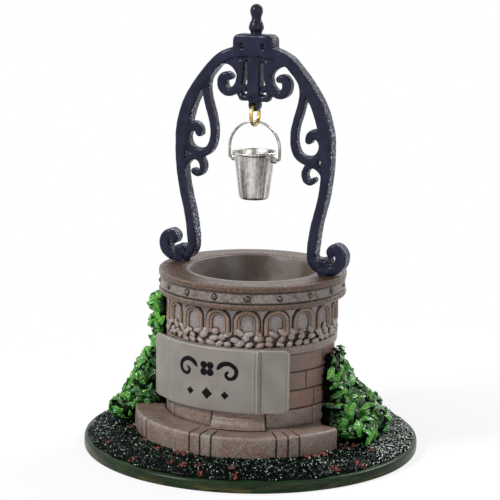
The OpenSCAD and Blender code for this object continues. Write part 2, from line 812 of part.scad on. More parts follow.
module foot_block() {
    color(ironwork) union() {
        stand(foot_depth) foot_block_outline();
        translate([foot_x, 0, coping_z - peg_l]) cylinder(d = peg_d, h = peg_l + foot_w / 2);
    }
}

module right_foot_block() {
    foot_block();
}

module left_foot_block() {
    mirror([1, 0, 0]) foot_block();
}

module right_post() {
    color(ironwork) stand(bar_depth) post_outline();
}

module left_post() {
    mirror([1, 0, 0]) right_post();
}

module right_foot_scroll() {
    color(ironwork) stand(bar_depth) foot_scroll_outline();
}

module left_foot_scroll() {
    mirror([1, 0, 0]) right_foot_scroll();
}

module crown_block() {
    color(ironwork) difference() {
        stand(crown_depth) crown_outline();
        for (s = [-1, 1]) translate([s * eye_x, 0, crown_z - crown_rise]) rotate([90, 0, 0])
            cylinder(d = eye_d, h = crown_depth + 2 * past, center = true);
        translate([0, 0, crown_z - stem_l - end_room])
            cylinder(d = stem_d + fit, h = stem_l + end_room + past);
    }
}

// Profile of the finial as shares of its height and greatest radius
finial_profile = [[0, 0.72], [0.08, 0.8], [0.18, 1], [0.28, 0.97], [0.4, 0.78],
    [0.52, 0.62], [0.6, 0.66], [0.7, 0.82], [0.8, 0.84], [0.9, 0.66], [0.97, 0.35]];

module finial() {
    r = finial_d / 2;
    color(ironwork) translate([0, 0, crown_z]) union() {
        rotate_extrude() polygon(concat([[0, 0]],
            [for (q = finial_profile) [r * q.y, finial_h * q.x]], [[0, finial_h]]));
        translate([0, 0, -stem_l]) cylinder(d = stem_d, h = stem_l + fit);
    }
}

module right_inner_scroll() {
    color(ironwork) stand(scroll_depth) inner_outline();
}

module left_inner_scroll() {
    mirror([1, 0, 0]) right_inner_scroll();
}

module right_curl() {
    color(ironwork) stand(scroll_depth) curl_outline();
}

module left_curl() {
    mirror([1, 0, 0]) right_curl();
}

module right_crown_scroll() {
    color(ironwork) union() {
        stand(scroll_depth) crown_scroll_outline();
        stand(scroll_depth - 2 * fit) web_outline();
    }
}

module left_crown_scroll() {
    mirror([1, 0, 0]) right_crown_scroll();
}

module hanger_bar() {
    eye_top = eye_z + eye_r + eye_wall + ring_wire;
    color(ironwork) difference() {
        stand(hanger_depth) hanger_outline();
        translate([0, 0, eye_z]) rotate([90, 0, 0])
            cylinder(r = eye_r, h = hanger_depth + 2 * past, center = true);
        for (s = [-1, 1]) translate([0, s * (eye_depth + hanger_depth) / 2, 0])
            translate([0, 0, eye_top - arch_rise / 2])
                cube([4 * hanger_half_w, hanger_depth, arch_rise], center = true);
    }
}

module right_volute() {
    color(ironwork) stand(scroll_depth * 0.75) volute_outline();
}

module left_volute() {
    mirror([1, 0, 0]) right_volute();
}

module jump_ring() {
    color("#b8923d") translate([0, 0, ring_z]) rotate([0, 90, 0]) rotate_extrude()
        translate([ring_r, 0]) circle(d = ring_wire);
}

module bail() {
    color("#6f6d6a") union() {
        rotate([90, 0, 0]) translate([0, 0, -bail_w / 2]) linear_extrude(bail_w) union() {
            intersection() {
                translate([0, bail_arc_z]) difference() {
                    circle(bail_half + bail_t / 2);
                    circle(bail_half - bail_t / 2);
                }
                translate([-2 * bail_half, bail_arc_z]) square([4 * bail_half, 2 * bail_half]);
            }
            for (s = [-1, 1])
                translate([s * bail_half - bail_t / 2, ear_z]) square([bail_t, bail_leg]);
        }
        for (s = [-1, 1]) translate([s * bail_half, 0, ear_z]) rotate([0, 90, 0])
            cylinder(d = bail_w, h = bail_t, center = true);
        for (s = [-1, 1]) mirror([s > 0 ? 0 : 1, 0, 0])
            translate([ear_face - pin_in + end_room, 0, ear_z]) rotate([0, 90, 0])
                cylinder(d = bail_pin_d, h = bail_half + bail_t / 2 - ear_face + pin_in - end_room);
    }
}

// Plan radius of the bucket's wall at a height over its bottom
function wall_r(z) = bucket_bottom_r + (rim_r - rim_bead - bucket_bottom_r) * z / bucket_h;

module bucket() {
    top_r = wall_r(bucket_h);
    color("#a3a09b") translate([0, 0, bucket_z]) difference() {
        union() {
            rotate_extrude() union() {
                polygon([[0, 0], [bucket_bottom_r - bucket_round, 0],
                    [wall_r(bucket_round), bucket_round], [top_r, bucket_h - rim_bead],
                    [0, bucket_h - rim_bead]]);
                translate([top_r, bucket_h - rim_bead]) circle(rim_bead);
            }
            for (s = [-1, 1]) mirror([s > 0 ? 0 : 1, 0, 0])
                translate([0, 0, bucket_h - ear_drop]) rotate([0, 90, 0])
                    cylinder(d = bucket_ear_d, h = ear_face);
        }
        rotate_extrude() polygon([[0, bucket_wall], [wall_r(bucket_wall) - bucket_wall - 0.2,
            bucket_wall], [wall_r(bucket_round) - bucket_wall, bucket_wall + bucket_round],
            [top_r - bucket_wall, bucket_h - rim_bead], [top_r - bucket_wall, bucket_h + past],
            [0, bucket_h + past]]);
        for (s = [-1, 1]) mirror([s > 0 ? 0 : 1, 0, 0])
            translate([ear_face - pin_in, 0, bucket_h - ear_drop]) rotate([0, 90, 0])
                cylinder(d = bail_pin_d + 2 * run_clear, h = pin_in + past);
    }
}

base_plate();
ground_cover();
step();
foundation_course();
cove_stone();
brick_drum();
ledge();
pebble_band();
arcade_band();
moulding();
stud_band();
studs();
coping();
bowl();
plaque_panel();
left_plaque_ear();
right_plaque_ear();
plaque_scrollwork();
left_hedge();
right_hedge();
left_foot_block();
right_foot_block();
left_post();
right_post();
left_foot_scroll();
right_foot_scroll();
crown_block();
finial();
left_inner_scroll();
right_inner_scroll();
left_curl();
right_curl();
left_crown_scroll();
right_crown_scroll();
hanger_bar();
left_volute();
right_volute();
jump_ring();
bail();
bucket();
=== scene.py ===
# Tabletop wishing well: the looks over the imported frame. Sizes in the dictionaries are in
# millimetres, and angles are measured from the front (-Y), positive towards the right post.
from math import ceil, copysign, cos, exp, floor, hypot, pi, radians, sin, sqrt

import bmesh
import bpy
from mathutils import Matrix, Vector, noise


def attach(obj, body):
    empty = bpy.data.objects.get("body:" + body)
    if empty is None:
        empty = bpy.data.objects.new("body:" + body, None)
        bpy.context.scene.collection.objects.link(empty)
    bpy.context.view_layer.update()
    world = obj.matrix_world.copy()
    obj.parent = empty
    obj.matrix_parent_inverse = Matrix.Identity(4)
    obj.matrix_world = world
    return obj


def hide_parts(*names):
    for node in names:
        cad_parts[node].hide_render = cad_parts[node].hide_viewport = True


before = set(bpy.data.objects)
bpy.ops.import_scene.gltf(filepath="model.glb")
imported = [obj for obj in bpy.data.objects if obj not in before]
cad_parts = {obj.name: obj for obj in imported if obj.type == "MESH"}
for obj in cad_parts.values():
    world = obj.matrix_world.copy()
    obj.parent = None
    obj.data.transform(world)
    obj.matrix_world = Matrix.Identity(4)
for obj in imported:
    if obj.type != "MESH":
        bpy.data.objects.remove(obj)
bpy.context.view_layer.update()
scene = bpy.context.scene
scene.view_settings.view_transform = "Standard"
mm = 0.001


# small helpers for colours, nodes and meshes
def hexColor(text):
    parts = [int(text[i:i + 2], 16) / 255 for i in (1, 3, 5)]
    return tuple(p / 12.92 if p <= 0.04045 else ((p + 0.055) / 1.055) ** 2.4 for p in parts) + (1,)


def add(tree, kind, links=None, stops=None, **settings):
    # one node with its settings, and what its inputs get: a value, a hex colour, a socket, or a
    # node, which stands for its first output; shader kinds go without their prefix
    node = tree.nodes.new(kind if "Node" in kind else "ShaderNode" + kind)
    for key, value in settings.items():
        setattr(node, key, value)
    for key, value in (links or {}).items():
        if isinstance(value, bpy.types.Node):
            value = value.outputs[0]
        elif isinstance(value, str) and value.startswith("#"):
            value = hexColor(value)
        if isinstance(value, bpy.types.NodeSocket):
            tree.links.new(value, node.inputs[key])
        else:
            node.inputs[key].default_value = value
    if stops:
        ramp = node.color_ramp
        while len(ramp.elements) < len(stops):
            ramp.elements.new(1)
        for element, (place, color) in zip(ramp.elements, stops):
            element.position = place
            element.color = hexColor(color) if isinstance(color, str) else (color, color, color, 1)
    return node


def newMaterial(name):
    material = bpy.data.materials.new(name)
    material.use_nodes = True
    material.node_tree.nodes.clear()
    tree = material.node_tree
    coords = add(tree, "TexCoord")
    # the textures are measured in millimetres of the piece itself
    place = add(tree, "Mapping", {0: coords.outputs["Object"], "Scale": (1 / mm, 1 / mm, 1 / mm)})
    return material, tree, place


def finished(material, surface, bump=None):
    # surface: a shader node, or the settings of a principled shader, which may have a bump given
    # as the node of its height, its strength and its depth in metres
    tree = material.node_tree
    if bump:
        height, strength, depth = bump
        surface["Normal"] = add(tree, "Bump", {"Height": height, "Strength": strength, "Distance": depth})
    shader = add(tree, "BsdfPrincipled", surface) if isinstance(surface, dict) else surface
    add(tree, "OutputMaterial", {0: shader})
    return material


def markCurve(mesh):
    # stores how far the surface stands proud (above 0) or folds in (below 0) at each vertex:
    # the mean lean of its edges off the normal, evened out once over its neighbours
    count = len(mesh.vertices)
    places, normals, ends = [0.0] * (count * 3), [0.0] * (count * 3), [0] * (len(mesh.edges) * 2)
    mesh.vertices.foreach_get("co", places)
    mesh.vertex_normals.foreach_get("vector", normals)
    mesh.edges.foreach_get("vertices", ends)
    lean, near = [0.0] * count, [0] * count
    for k in range(0, len(ends), 2):
        a, b = ends[k], ends[k + 1]
        i, j = a * 3, b * 3
        x, y, z = places[j] - places[i], places[j + 1] - places[i + 1], places[j + 2] - places[i + 2]
        length = sqrt(x * x + y * y + z * z) or 1
        lean[a] -= (x * normals[i] + y * normals[i + 1] + z * normals[i + 2]) / length
        lean[b] += (x * normals[j] + y * normals[j + 1] + z * normals[j + 2]) / length
        near[a] += 1
        near[b] += 1
    lean = [value / max(1, number) / pi for value, number in zip(lean, near)]
    total = list(lean)
    for k in range(0, len(ends), 2):
        a, b = ends[k], ends[k + 1]
        total[a] += lean[b]
        total[b] += lean[a]
    values = [value / (number + 1) for value, number in zip(total, near)]
    mesh.attributes.new("curve", "FLOAT", "POINT").data.foreach_set("value", values)


def toMesh(name, points, faces, **marks):
    mesh = bpy.data.meshes.new(name)
    mesh.from_pydata([(x * mm, y * mm, z * mm) for x, y, z in points], [], faces)
    for mark, values in marks.items():
        mesh.attributes.new(mark, "FLOAT", "POINT").data.foreach_set("value", values)
    work = bmesh.new()
    work.from_mesh(mesh)
    bmesh.ops.remove_doubles(work, verts=work.verts, dist=1e-7)
    bmesh.ops.recalc_face_normals(work, faces=work.faces)
    for face in work.faces:
        face.smooth = True
    work.to_mesh(mesh)
    work.free()
    markCurve(mesh)
    return mesh


def makeObject(name, mesh, material=None):
    piece = bpy.data.objects.new(name, mesh)
    scene.collection.objects.link(piece)
    if material:
        mesh.materials.clear()
        mesh.materials.append(material)
    return piece


def settle(piece, body, nodes):
    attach(piece, body)
    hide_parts(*nodes)


def repaint(piece, material):
    # a piece shaped in millimetres, brought to its real size and given one material
    piece.data.transform(Matrix.Scale(mm, 4))
    piece.data.materials.clear()
    piece.data.materials.append(material)


def cutAway(piece, unwanted):
    # takes away the faces for which unwanted(face, x, y, z) holds, at their middles in millimetres
    work = bmesh.new()
    work.from_mesh(piece.data)
    gone = [face for face in work.faces if unwanted(face, *(face.calc_center_median() / mm))]
    bmesh.ops.delete(work, geom=gone, context="FACES")
    work.to_mesh(piece.data)
    work.free()


def baked(piece):
    # the modifiers' result becomes the piece's own mesh
    graph = bpy.context.evaluated_depsgraph_get()
    mesh = bpy.data.meshes.new_from_object(piece.evaluated_get(graph), depsgraph=graph)
    piece.modifiers.clear()
    piece.data = mesh
    return piece


def joined(name, pieces):
    work = bmesh.new()
    for piece in pieces:
        work.from_mesh(piece.data)
    mesh = bpy.data.meshes.new(name)
    work.to_mesh(mesh)
    work.free()
    for piece in pieces:
        bpy.data.objects.remove(piece)
    return mesh


def grain(x, y, z, size, seed=0):
    return noise.noise(Vector((x / size + seed, y / size - seed, z / size + 2 * seed)))


def turns(count):
    return [2 * pi * k / count for k in range(count)]


def bandFaces(rings, sides, start=0, closed=False):
    # the faces between rings of points that follow each other in a list
    faces = []
    for i in range(rings if closed else rings - 1):
        a, b = start + i * sides, start + (i + 1) % rings * sides
        for k in range(sides):
            m = (k + 1) % sides
            faces.append((a + k, a + m, b + m, b + k))
    return faces


def roundedLoop(corners, steps=4):
    # corners: x, z and the radius that rounds each
    loop = []
    count = len(corners)
    for i, (x, z, radius) in enumerate(corners):
        here = Vector((x, z))
        before = (Vector(corners[i - 1][:2]) - here)
        after = (Vector(corners[(i + 1) % count][:2]) - here)
        if radius <= 0:
            loop.append((x, z))
            continue
        reach = min(radius, before.length * 0.49, after.length * 0.49)
        start, end = here + before.normalized() * reach, here + after.normalized() * reach
        for k in range(steps + 1):
            t = k / steps
            spot = start * (1 - t) ** 2 + here * 2 * t * (1 - t) + end * t * t
            loop.append((spot.x, spot.y))
    return loop


def finer(loop, step, closed=True):
    # the same loop with its points no farther apart than the step
    out = []
    count = len(loop)
    for i in range(count if closed else count - 1):
        (x0, z0), (x1, z1) = loop[i], loop[(i + 1) % count]
        parts = max(1, ceil(hypot(x1 - x0, z1 - z0) / step))
        out += [(x0 + (x1 - x0) * k / parts, z0 + (z1 - z0) * k / parts) for k in range(parts)]
    return out if closed else out + [loop[-1]]


def lathe(name, loop, count, shape=None, start=0, sweep=360):
    # turns a loop of (radius, height) about the well's axis; shape(angle, r, z) gives each point's
    # own radius and height, how deep it lies in a hollow, and a tone that shifts its colour
    whole = sweep == 360
    rings = count if whole else count + 1
    points, faces, hollow, tone = [], [], [], []
    size = len(loop)
    for i in range(rings):
        angle = start + sweep * i / count
        turn = radians(angle)
        for r, z in loop:
            deep, hue = 0, 0
            if shape:
                r, z, deep, hue = shape(angle, r, z)
            points.append((r * sin(turn), -r * cos(turn), z))
            hollow.append(deep)
            tone.append(hue)
    for i in range(count):
        j = (i + 1) % rings
        for k in range(size):
            m = (k + 1) % size
            faces.append((i * size + k, j * size + k, j * size + m, i * size + m))
    if not whole:
        faces.append(tuple(range(size)))
        faces.append(tuple(range(count * size, (count + 1) * size)))
    return toMesh(name, points, faces, hollow=hollow, tone=tone)


def smoothPath(keys, steps=6):
    # a soft curve through all the keys, whatever each holds beside its place
    path = []
    last = len(keys) - 1
    for i in range(last):
        a, b, c, d = keys[max(i - 1, 0)], keys[i], keys[i + 1], keys[min(i + 2, last)]
        for j in range(steps):
            t = j / steps
            path.append(tuple(0.5 * (2 * q + (r - p) * t + (2 * p - 5 * q + 4 * r - s) * t * t
                                     + (3 * q - p - 3 * r + s) * t ** 3)
                              for p, q, r, s in zip(a, b, c, d)))
    return path + [tuple(keys[-1])]


def bar(name, path, sides=16, power=4, blunt=0.5):
    # path: x, z, width, depth at each point; the section is a rounded rectangle
    points, stations = [], []
    for i in range(len(path)):
        a, b = path[max(i - 1, 0)], path[min(i + 1, len(path) - 1)]
        along = Vector((b[0] - a[0], b[1] - a[1])).normalized()
        stations.append((path[i], along, 1, 0))
    for end, sign in ((0, -1), (-1, 1)):
        spot, along, _, _ = stations[end]
        extra = [(spot, along, cos(t), sign * sin(t)) for t in (0.5, 1, 1.35)]
        stations = (extra[::-1] + stations) if end == 0 else (stations + extra)
    for (x, z, width, depth), along, shrink, push in stations:
        across = Vector((-along.y, along.x))
        for k in range(sides):
            t = 2 * pi * (k + 0.5) / sides
            u = copysign(abs(cos(t)) ** (2 / power), cos(t)) * width / 2 * shrink
            v = copysign(abs(sin(t)) ** (2 / power), sin(t)) * depth / 2 * (1 - (1 - shrink) * blunt)
            points.append((x + across.x * u + along.x * push * blunt * width / 2,
                           v, z + across.y * u + along.y * push * blunt * width / 2))
    ends = [tuple(range(sides)), tuple(range(len(points) - sides, len(points)))]
    return toMesh(name, points, bandFaces(len(stations), sides) + ends)


def nodeTree(name, inputs):
    tree = bpy.data.node_groups.new(name, "GeometryNodeTree")
    tree.interface.new_socket("Geometry", in_out="INPUT", socket_type="NodeSocketGeometry")
    for label, kind in inputs.items():
        tree.interface.new_socket(label, in_out="INPUT", socket_type="NodeSocket" + kind)
    tree.interface.new_socket("Geometry", in_out="OUTPUT", socket_type="NodeSocketGeometry")
    return tree, add(tree, "NodeGroupInput").outputs


def endTree(tree, geometry, material):
    real = add(tree, "GeometryNodeRealizeInstances", {0: geometry})
    done = add(tree, "GeometryNodeSetMaterial", {0: real, "Material": material})
    add(tree, "NodeGroupOutput", {0: done})


def runTree(piece, tree, values):
    modifier = piece.modifiers.new(tree.name, "NODES")
    modifier.node_group = tree
    for item in tree.interface.items_tree:
        if item.item_type == "SOCKET" and item.in_out == "INPUT" and item.name in values:
            modifier[item.identifier] = values[item.name]
    return baked(piece)


# the camera stands where the photograph was taken from, fitted to its outline
cameraLook = {"azimuth": 23.38, "elevation": 11.32, "distance": 420, "lens": 138.2, "roll": 0.8,
              "aside": -0.69, "height": 43.52}


def placeCamera(look):
    a, e, r = (radians(look[k]) for k in ("azimuth", "elevation", "roll"))
    back = Vector((sin(a) * cos(e), -cos(a) * cos(e), sin(e)))
    right = Vector((cos(a), sin(a), 0))
    up = back.cross(right)
    right, up = right * cos(r) + up * sin(r), up * cos(r) - right * sin(r)
    target = Vector((cos(a), sin(a), 0)) * look["aside"] + Vector((0, 0, look["height"]))
    spot = (target + back * look["distance"]) * mm
    camera = bpy.data.objects.new("camera", bpy.data.cameras.new("camera"))
    scene.collection.objects.link(camera)
    camera.data.lens = look["lens"]
    camera.data.clip_start = 0.01
    turn = Matrix((right, up, back)).transposed().to_4x4()
    camera.matrix_world = Matrix.Translation(spot) @ turn
    scene.camera = camera


placeCamera(cameraLook)

lamps = {"key": {"at": (-250, -330, 340), "size": 110, "power": 2.2},
         "fill": {"at": (380, -240, 160), "size": 240, "power": 0.45},
         "rim": {"at": (150, 340, 360), "size": 140, "power": 1.3}}


def addLamp(name, look):
    lamp = bpy.data.objects.new(name, bpy.data.lights.new(name, "AREA"))
    lamp.data.size = look["size"] * mm
    lamp.data.energy = look["power"]
    spot = Vector(look["at"]) * mm
    aim = (Vector((0, 0, 45)) * mm - spot).to_track_quat("-Z", "Y")
    lamp.matrix_world = Matrix.Translation(spot) @ aim.to_matrix().to_4x4()
    scene.collection.objects.link(lamp)


for lampName, lampLook in lamps.items():
    addLamp(lampName, lampLook)


stageLook = {"ambient": 0.3, "near": 45, "far": 130, "glow": 0.78}


def seenDirectly(tree):
    # 1 for rays from the camera, and for what metal and varnish mirror
    ray = add(tree, "LightPath")
    first = add(tree, "Math", {0: ray.outputs["Is Camera Ray"], 1: ray.outputs["Is Glossy Ray"]},
                operation="MAXIMUM")
    return add(tree, "Math", {0: first, 1: ray.outputs["Is Transmission Ray"]},
               operation="MAXIMUM")


def whiteStage(look):
    world = bpy.data.worlds.new("studio")
    world.use_nodes = True
    world.node_tree.nodes.clear()
    tree = world.node_tree
    strength = add(tree, "MapRange", {0: seenDirectly(tree), 3: look["ambient"], 4: 1.0})
    glow = add(tree, "Background", {"Color": (1, 1, 1, 1), "Strength": strength})
    add(tree, "OutputWorld", {0: glow})
    scene.world = world
    # white paint that glows a little for the camera, fully so away from the object's shadow
    material, tree, at = newMaterial("white sweep, matt paint")
    away = add(tree, "VectorMath", {0: at}, operation="LENGTH")
    glowing = add(tree, "MapRange", {0: away.outputs["Value"], 1: look["near"], 2: look["far"],
                                     3: look["glow"], 4: 1.0})
    share = add(tree, "Math", {0: seenDirectly(tree), 1: glowing}, operation="MULTIPLY")
    matt = add(tree, "BsdfDiffuse", {"Color": (0.93, 0.93, 0.93, 1)})
    glow = add(tree, "Emission", {"Color": (1, 1, 1, 1), "Strength": 1.0})
    finished(material, add(tree, "MixShader", {0: share, 1: matt, 2: glow}))
    mesh = bpy.data.meshes.new("floor")
    mesh.from_pydata([(-3, -3, 0), (3, -3, 0), (3, 3, 0), (-3, 3, 0)], [], [(0, 1, 2, 3)])
    makeObject("floor", mesh, material)


whiteStage(stageLook)
print("camera, lamps and stage set")


# the materials, each with its coats of paint from the first to the last
def crestAndHollow(tree, low, high):
    # how far the mesh itself stands out (at edges and ridges) or folds in at each point, as masks for
    # painted highlight on what stands out and painted shade in the folds
    curve = add(tree, "Attribute", attribute_name="curve")
    litCrest = add(tree, "MapRange", {0: curve.outputs["Fac"], 1: low, 2: high})
    foldShade = add(tree, "MapRange", {0: curve.outputs["Fac"], 1: -low, 2: -high})
    return litCrest, foldShade


def coated(tree, under, *coats):
    # coats of paint laid one over the other, each with the share that it covers
    for share, color in coats:
        under = add(tree, "Mix", {"Factor": share, "A": under, "B": color}, data_type="RGBA").outputs[2]
    return under


def stoneFinish(name, look):
    # cast resin painted as stone: satin varnish, a brown wash in patches, a fine speckle of grit, pale
    # dry-brushing on the edges that also stands as painted highlight, and the deep colour in the joints
    # and, as painted shade, in nooks and folds
    material, tree, at = newMaterial(name)
    patches = add(tree, "TexNoise", {"Vector": at, "Scale": 1 / look["patch"], "Detail": 4.0,
                                     "Roughness": 0.65})
    drawn = add(tree, "MapRange", {0: patches, 1: 0.38, 2: 0.62})
    # the tone shifts a piece towards the wash, and in the bowl it carries painted light and shade
    tone = add(tree, "Attribute", attribute_name="tone")
    mixed = add(tree, "Math", {0: drawn, 1: tone.outputs["Fac"]}, operation="ADD", use_clamp=True)
    specks = add(tree, "TexNoise", {"Vector": at, "Scale": 1 / look["speck"], "Detail": 2.0,
                                    "Roughness": 0.7})
    flecks = add(tree, "MapRange", {0: specks, 1: 0.53, 2: 0.68, 4: look["speckShare"]})
    darks = add(tree, "MapRange", {0: specks, 1: 0.47, 2: 0.34, 4: look["speckShare"]})
    litCrest, foldShade = crestAndHollow(tree, 0.015, 0.09)
    wearAndSheen = add(tree, "Math", {0: litCrest, 1: look["wearAndSheen"]}, operation="MULTIPLY")
    hollow = add(tree, "Attribute", attribute_name="hollow")
    deep = add(tree, "Math", {0: hollow.outputs["Fac"], 1: foldShade}, operation="MAXIMUM")
    sunk = add(tree, "MapRange", {0: deep, 1: 0.12, 2: 0.75})
    # the last two coats: pale edges as painted highlight, then the deep colour in the joints and, as
    # painted shade, in nooks and folds
    body = coated(tree, look["color"], (mixed, look["wash"]), (flecks, look["speckColor"]),
                  (darks, look["deep"]), (wearAndSheen, look["edge"]), (sunk, look["deep"]))
    gloss = add(tree, "MapRange", {0: patches, 1: 0.3, 2: 0.7, 3: look["rough"] + 0.1,
                                   4: look["rough"] - 0.06})
    return finished(material, {"Base Color": body, "Roughness": gloss, "IOR": 1.5,
                               "Specular IOR Level": 0.38}, (specks, look["bump"], 0.0002))


greyStone = stoneFinish("resin painted as grey stone, varnished", {
    "color": "#837771", "wash": "#7b6356", "deep": "#20140f", "speckColor": "#a3948b", "edge": "#c6bab1",
    "wearAndSheen": 0.3, "patch": 3.0, "speck": 0.34, "speckShare": 0.5, "rough": 0.32, "bump": 0.7})
bandStone = stoneFinish("resin band painted as pale stone, patchy varnish", {
    "color": "#7b736f", "wash": "#5c4b42", "deep": "#1e1512", "speckColor": "#aca39e", "edge": "#cfc6c0",
    "wearAndSheen": 0.45, "patch": 1.8, "speck": 0.32, "speckShare": 0.5, "rough": 0.28, "bump": 0.8})
brownStone = stoneFinish("resin painted as brown stone, dry-brushed", {
    "color": "#49362a", "wash": "#503522", "deep": "#1a100d", "speckColor": "#8a7362", "edge": "#b9a89c",
    "wearAndSheen": 0.45, "patch": 2.6, "speck": 0.32, "speckShare": 0.55, "rough": 0.24, "bump": 1.0})
brickStone = stoneFinish("resin painted as brick, brown wash", {
    "color": "#766159", "wash": "#7f6354", "deep": "#1f1411", "speckColor": "#94807a", "edge": "#a8968d",
    "wearAndSheen": 0.55, "patch": 2.4, "speck": 0.28, "speckShare": 0.45, "rough": 0.48, "bump": 0.6})
archStone = stoneFinish("resin painted as carved stone, brown mouldings", {
    "color": "#857d7e", "wash": "#7b6455", "deep": "#20140f", "speckColor": "#a59a94", "edge": "#b5a596",
    "wearAndSheen": 0.5, "patch": 6, "speck": 0.34, "speckShare": 0.45, "rough": 0.28, "bump": 0.9})
cobbleStone = stoneFinish("resin cobbles, glossy varnish", {
    "color": "#887e7a", "wash": "#7d6252", "deep": "#241916", "speckColor": "#c9c1bd", "edge": "#d8d0cb",
    "wearAndSheen": 0.1, "patch": 2.8, "speck": 0.36, "speckShare": 0.5, "rough": 0.14, "bump": 0.8})
studIron = stoneFinish("stud heads painted iron-grey", {
    "color": "#4b423f", "wash": "#3d322d", "deep": "#0c0807", "speckColor": "#8a817d", "edge": "#a39a95",
    "wearAndSheen": 0.15, "patch": 1.5, "speck": 0.3, "speckShare": 0.3, "rough": 0.25, "bump": 0.2})
bowlStone = stoneFinish("resin bowl, sprayed grey", {
    "color": "#8f8987", "wash": "#55483f", "deep": "#2a1c19", "speckColor": "#7e736e", "edge": "#b4aaa5",
    "wearAndSheen": 0.6, "patch": 22, "speck": 0.4, "speckShare": 0.22, "rough": 0.42, "bump": 0.25})


def plaqueFinish():
    # smooth resin under a thick clear varnish: even grey-beige, faint clouding, sharp lights, a painted
    # highlight along its edges and painted shade in its folds
    material, tree, at = newMaterial("smooth resin plaque, clear varnish")
    clouds = add(tree, "TexNoise", {"Vector": at, "Scale": 0.22, "Detail": 3.0})
    body = add(tree, "ValToRGB", {0: clouds}, stops=[(0.3, "#77716c"), (0.7, "#857f79")])
    litCrest, foldShade = crestAndHollow(tree, 0.03, 0.13)
    litAndShaded = coated(tree, body, (litCrest, "#d6d0ca"), (foldShade, "#4a433f"))
    dust = add(tree, "TexNoise", {"Vector": at, "Scale": 3.0, "Detail": 2.0})
    return finished(material, {"Base Color": litAndShaded, "Roughness": 0.3, "IOR": 1.5,
                               "Specular IOR Level": 0.25}, (dust, 0.06, 0.0002))


def blackPaint():
    # hand-laid black paint: thick, glossy, a little uneven
    material, tree, at = newMaterial("raised black enamel line")
    runs = add(tree, "TexNoise", {"Vector": at, "Scale": 1.4, "Detail": 2.0})
    body = add(tree, "ValToRGB", {0: runs}, stops=[(0.3, "#070608"), (0.75, "#121114")])
    return finished(material, {"Base Color": body, "Roughness": 0.3, "Specular IOR Level": 0.08},
                    (runs, 0.2, 0.0001))


def ironFinish():
    # cast iron look in glossy navy-charcoal enamel: soft smooth fronts, while the sides keep the pocked
    # skin of the mould;
    # painted glints: pale blue specks in patches on the sides that face right, a painted highlight on the
    # edges, painted shade in the folds
    material, tree, at = newMaterial("navy-charcoal enamel over a casting")
    clouds = add(tree, "TexNoise", {"Vector": at, "Scale": 0.4, "Detail": 3.0})
    body = add(tree, "ValToRGB", {0: clouds}, stops=[(0.3, "#171929"), (0.7, "#232639")])
    facing = add(tree, "NewGeometry")
    parts = add(tree, "SeparateXYZ", {0: facing.outputs["Normal"]})
    frontal = add(tree, "Math", {0: parts.outputs[1]}, operation="ABSOLUTE")
    side = add(tree, "MapRange", {0: frontal, 1: 0.62, 2: 0.25})
    pits = add(tree, "TexVoronoi", {"Vector": at, "Scale": 2.6, "Randomness": 1.0})
    skin = add(tree, "TexNoise", {"Vector": at, "Scale": 2.0, "Detail": 2.0})
    specks = add(tree, "MapRange", {0: skin, 1: 0.54, 2: 0.62, 4: 0.85})
    wearAndSheen = add(tree, "TexNoise", {"Vector": at, "Scale": 0.09, "Detail": 2.0})
    patch = add(tree, "MapRange", {0: wearAndSheen, 1: 0.43, 2: 0.6, 3: 0.1, 4: 1.0})
    # painted glints: the pale specks show only on sides that face right, and away from the middle
    glintSide = add(tree, "MapRange", {0: parts, 1: -0.1, 2: 0.3, 3: 0.3, 4: 1.0})
    shown = add(tree, "Math", {0: patch, 1: glintSide}, operation="MULTIPLY")
    place = add(tree, "SeparateXYZ", {0: at})
    aside = add(tree, "Math", {0: place}, operation="ABSOLUTE")
    beside = add(tree, "MapRange", {0: aside, 1: 3.4, 2: 4.6})
    reached = add(tree, "Math", {0: side, 1: beside}, operation="MULTIPLY")
    glintSpecks = add(tree, "Math", {0: specks, 1: reached}, operation="MULTIPLY")
    pale = add(tree, "Math", {0: glintSpecks, 1: shown}, operation="MULTIPLY")
    litCrest, foldShade = crestAndHollow(tree, 0.03, 0.12)
    # painted highlight: a paler navy on what stands out; painted shade: near-black in the folds
    rubbed = add(tree, "Math", {0: litCrest, 1: 0.3}, operation="MULTIPLY")
    painted = coated(tree, body, (pale, "#c6d0ea"), (rubbed, "#4d546b"), (foldShade, "#07070c"))
    roughened = add(tree, "Math", {0: pits, 1: side}, operation="MULTIPLY")
    height = add(tree, "Math", {0: skin, 1: 0.14, 2: roughened}, operation="MULTIPLY_ADD")
    return finished(material, {"Base Color": painted, "Roughness": 0.24, "IOR": 1.5,
                               "Specular IOR Level": 0.14}, (height, 0.6, 0.0003))


def baseFinish():
    # dark green gloss enamel, brushed on by hand, with brown paint rubbed along the foot
    material, tree, at = newMaterial("bottle-green enamel on resin, brown foot")
    strokes = add(tree, "Mapping", {0: at, "Scale": (0.25, 0.25, 1.6)})
    streaks = add(tree, "TexNoise", {"Vector": strokes, "Scale": 1.0, "Detail": 3.0})
    body = add(tree, "ValToRGB", {0: streaks}, stops=[(0.3, "#0b160a"), (0.7, "#1d3419")])
    parts = add(tree, "SeparateXYZ", {0: at})
    low = add(tree, "MapRange", {0: parts.outputs[2], 1: 2.0, 2: 0.4})
    smear = add(tree, "TexNoise", {"Vector": strokes, "Scale": 0.6, "Detail": 4.0, "Roughness": 0.65})
    where = add(tree, "MapRange", {0: smear, 1: 0.5, 2: 0.62})
    rubbed = add(tree, "Math", {0: low, 1: where}, operation="MULTIPLY")
    soft = add(tree, "Math", {0: rubbed, 1: 0.7}, operation="MULTIPLY")
    painted = coated(tree, body, (soft, "#5a4a2b"))
    return finished(material, {"Base Color": painted, "Roughness": 0.3, "Specular IOR Level": 0.14},
                    (streaks, 0.15, 0.0003))


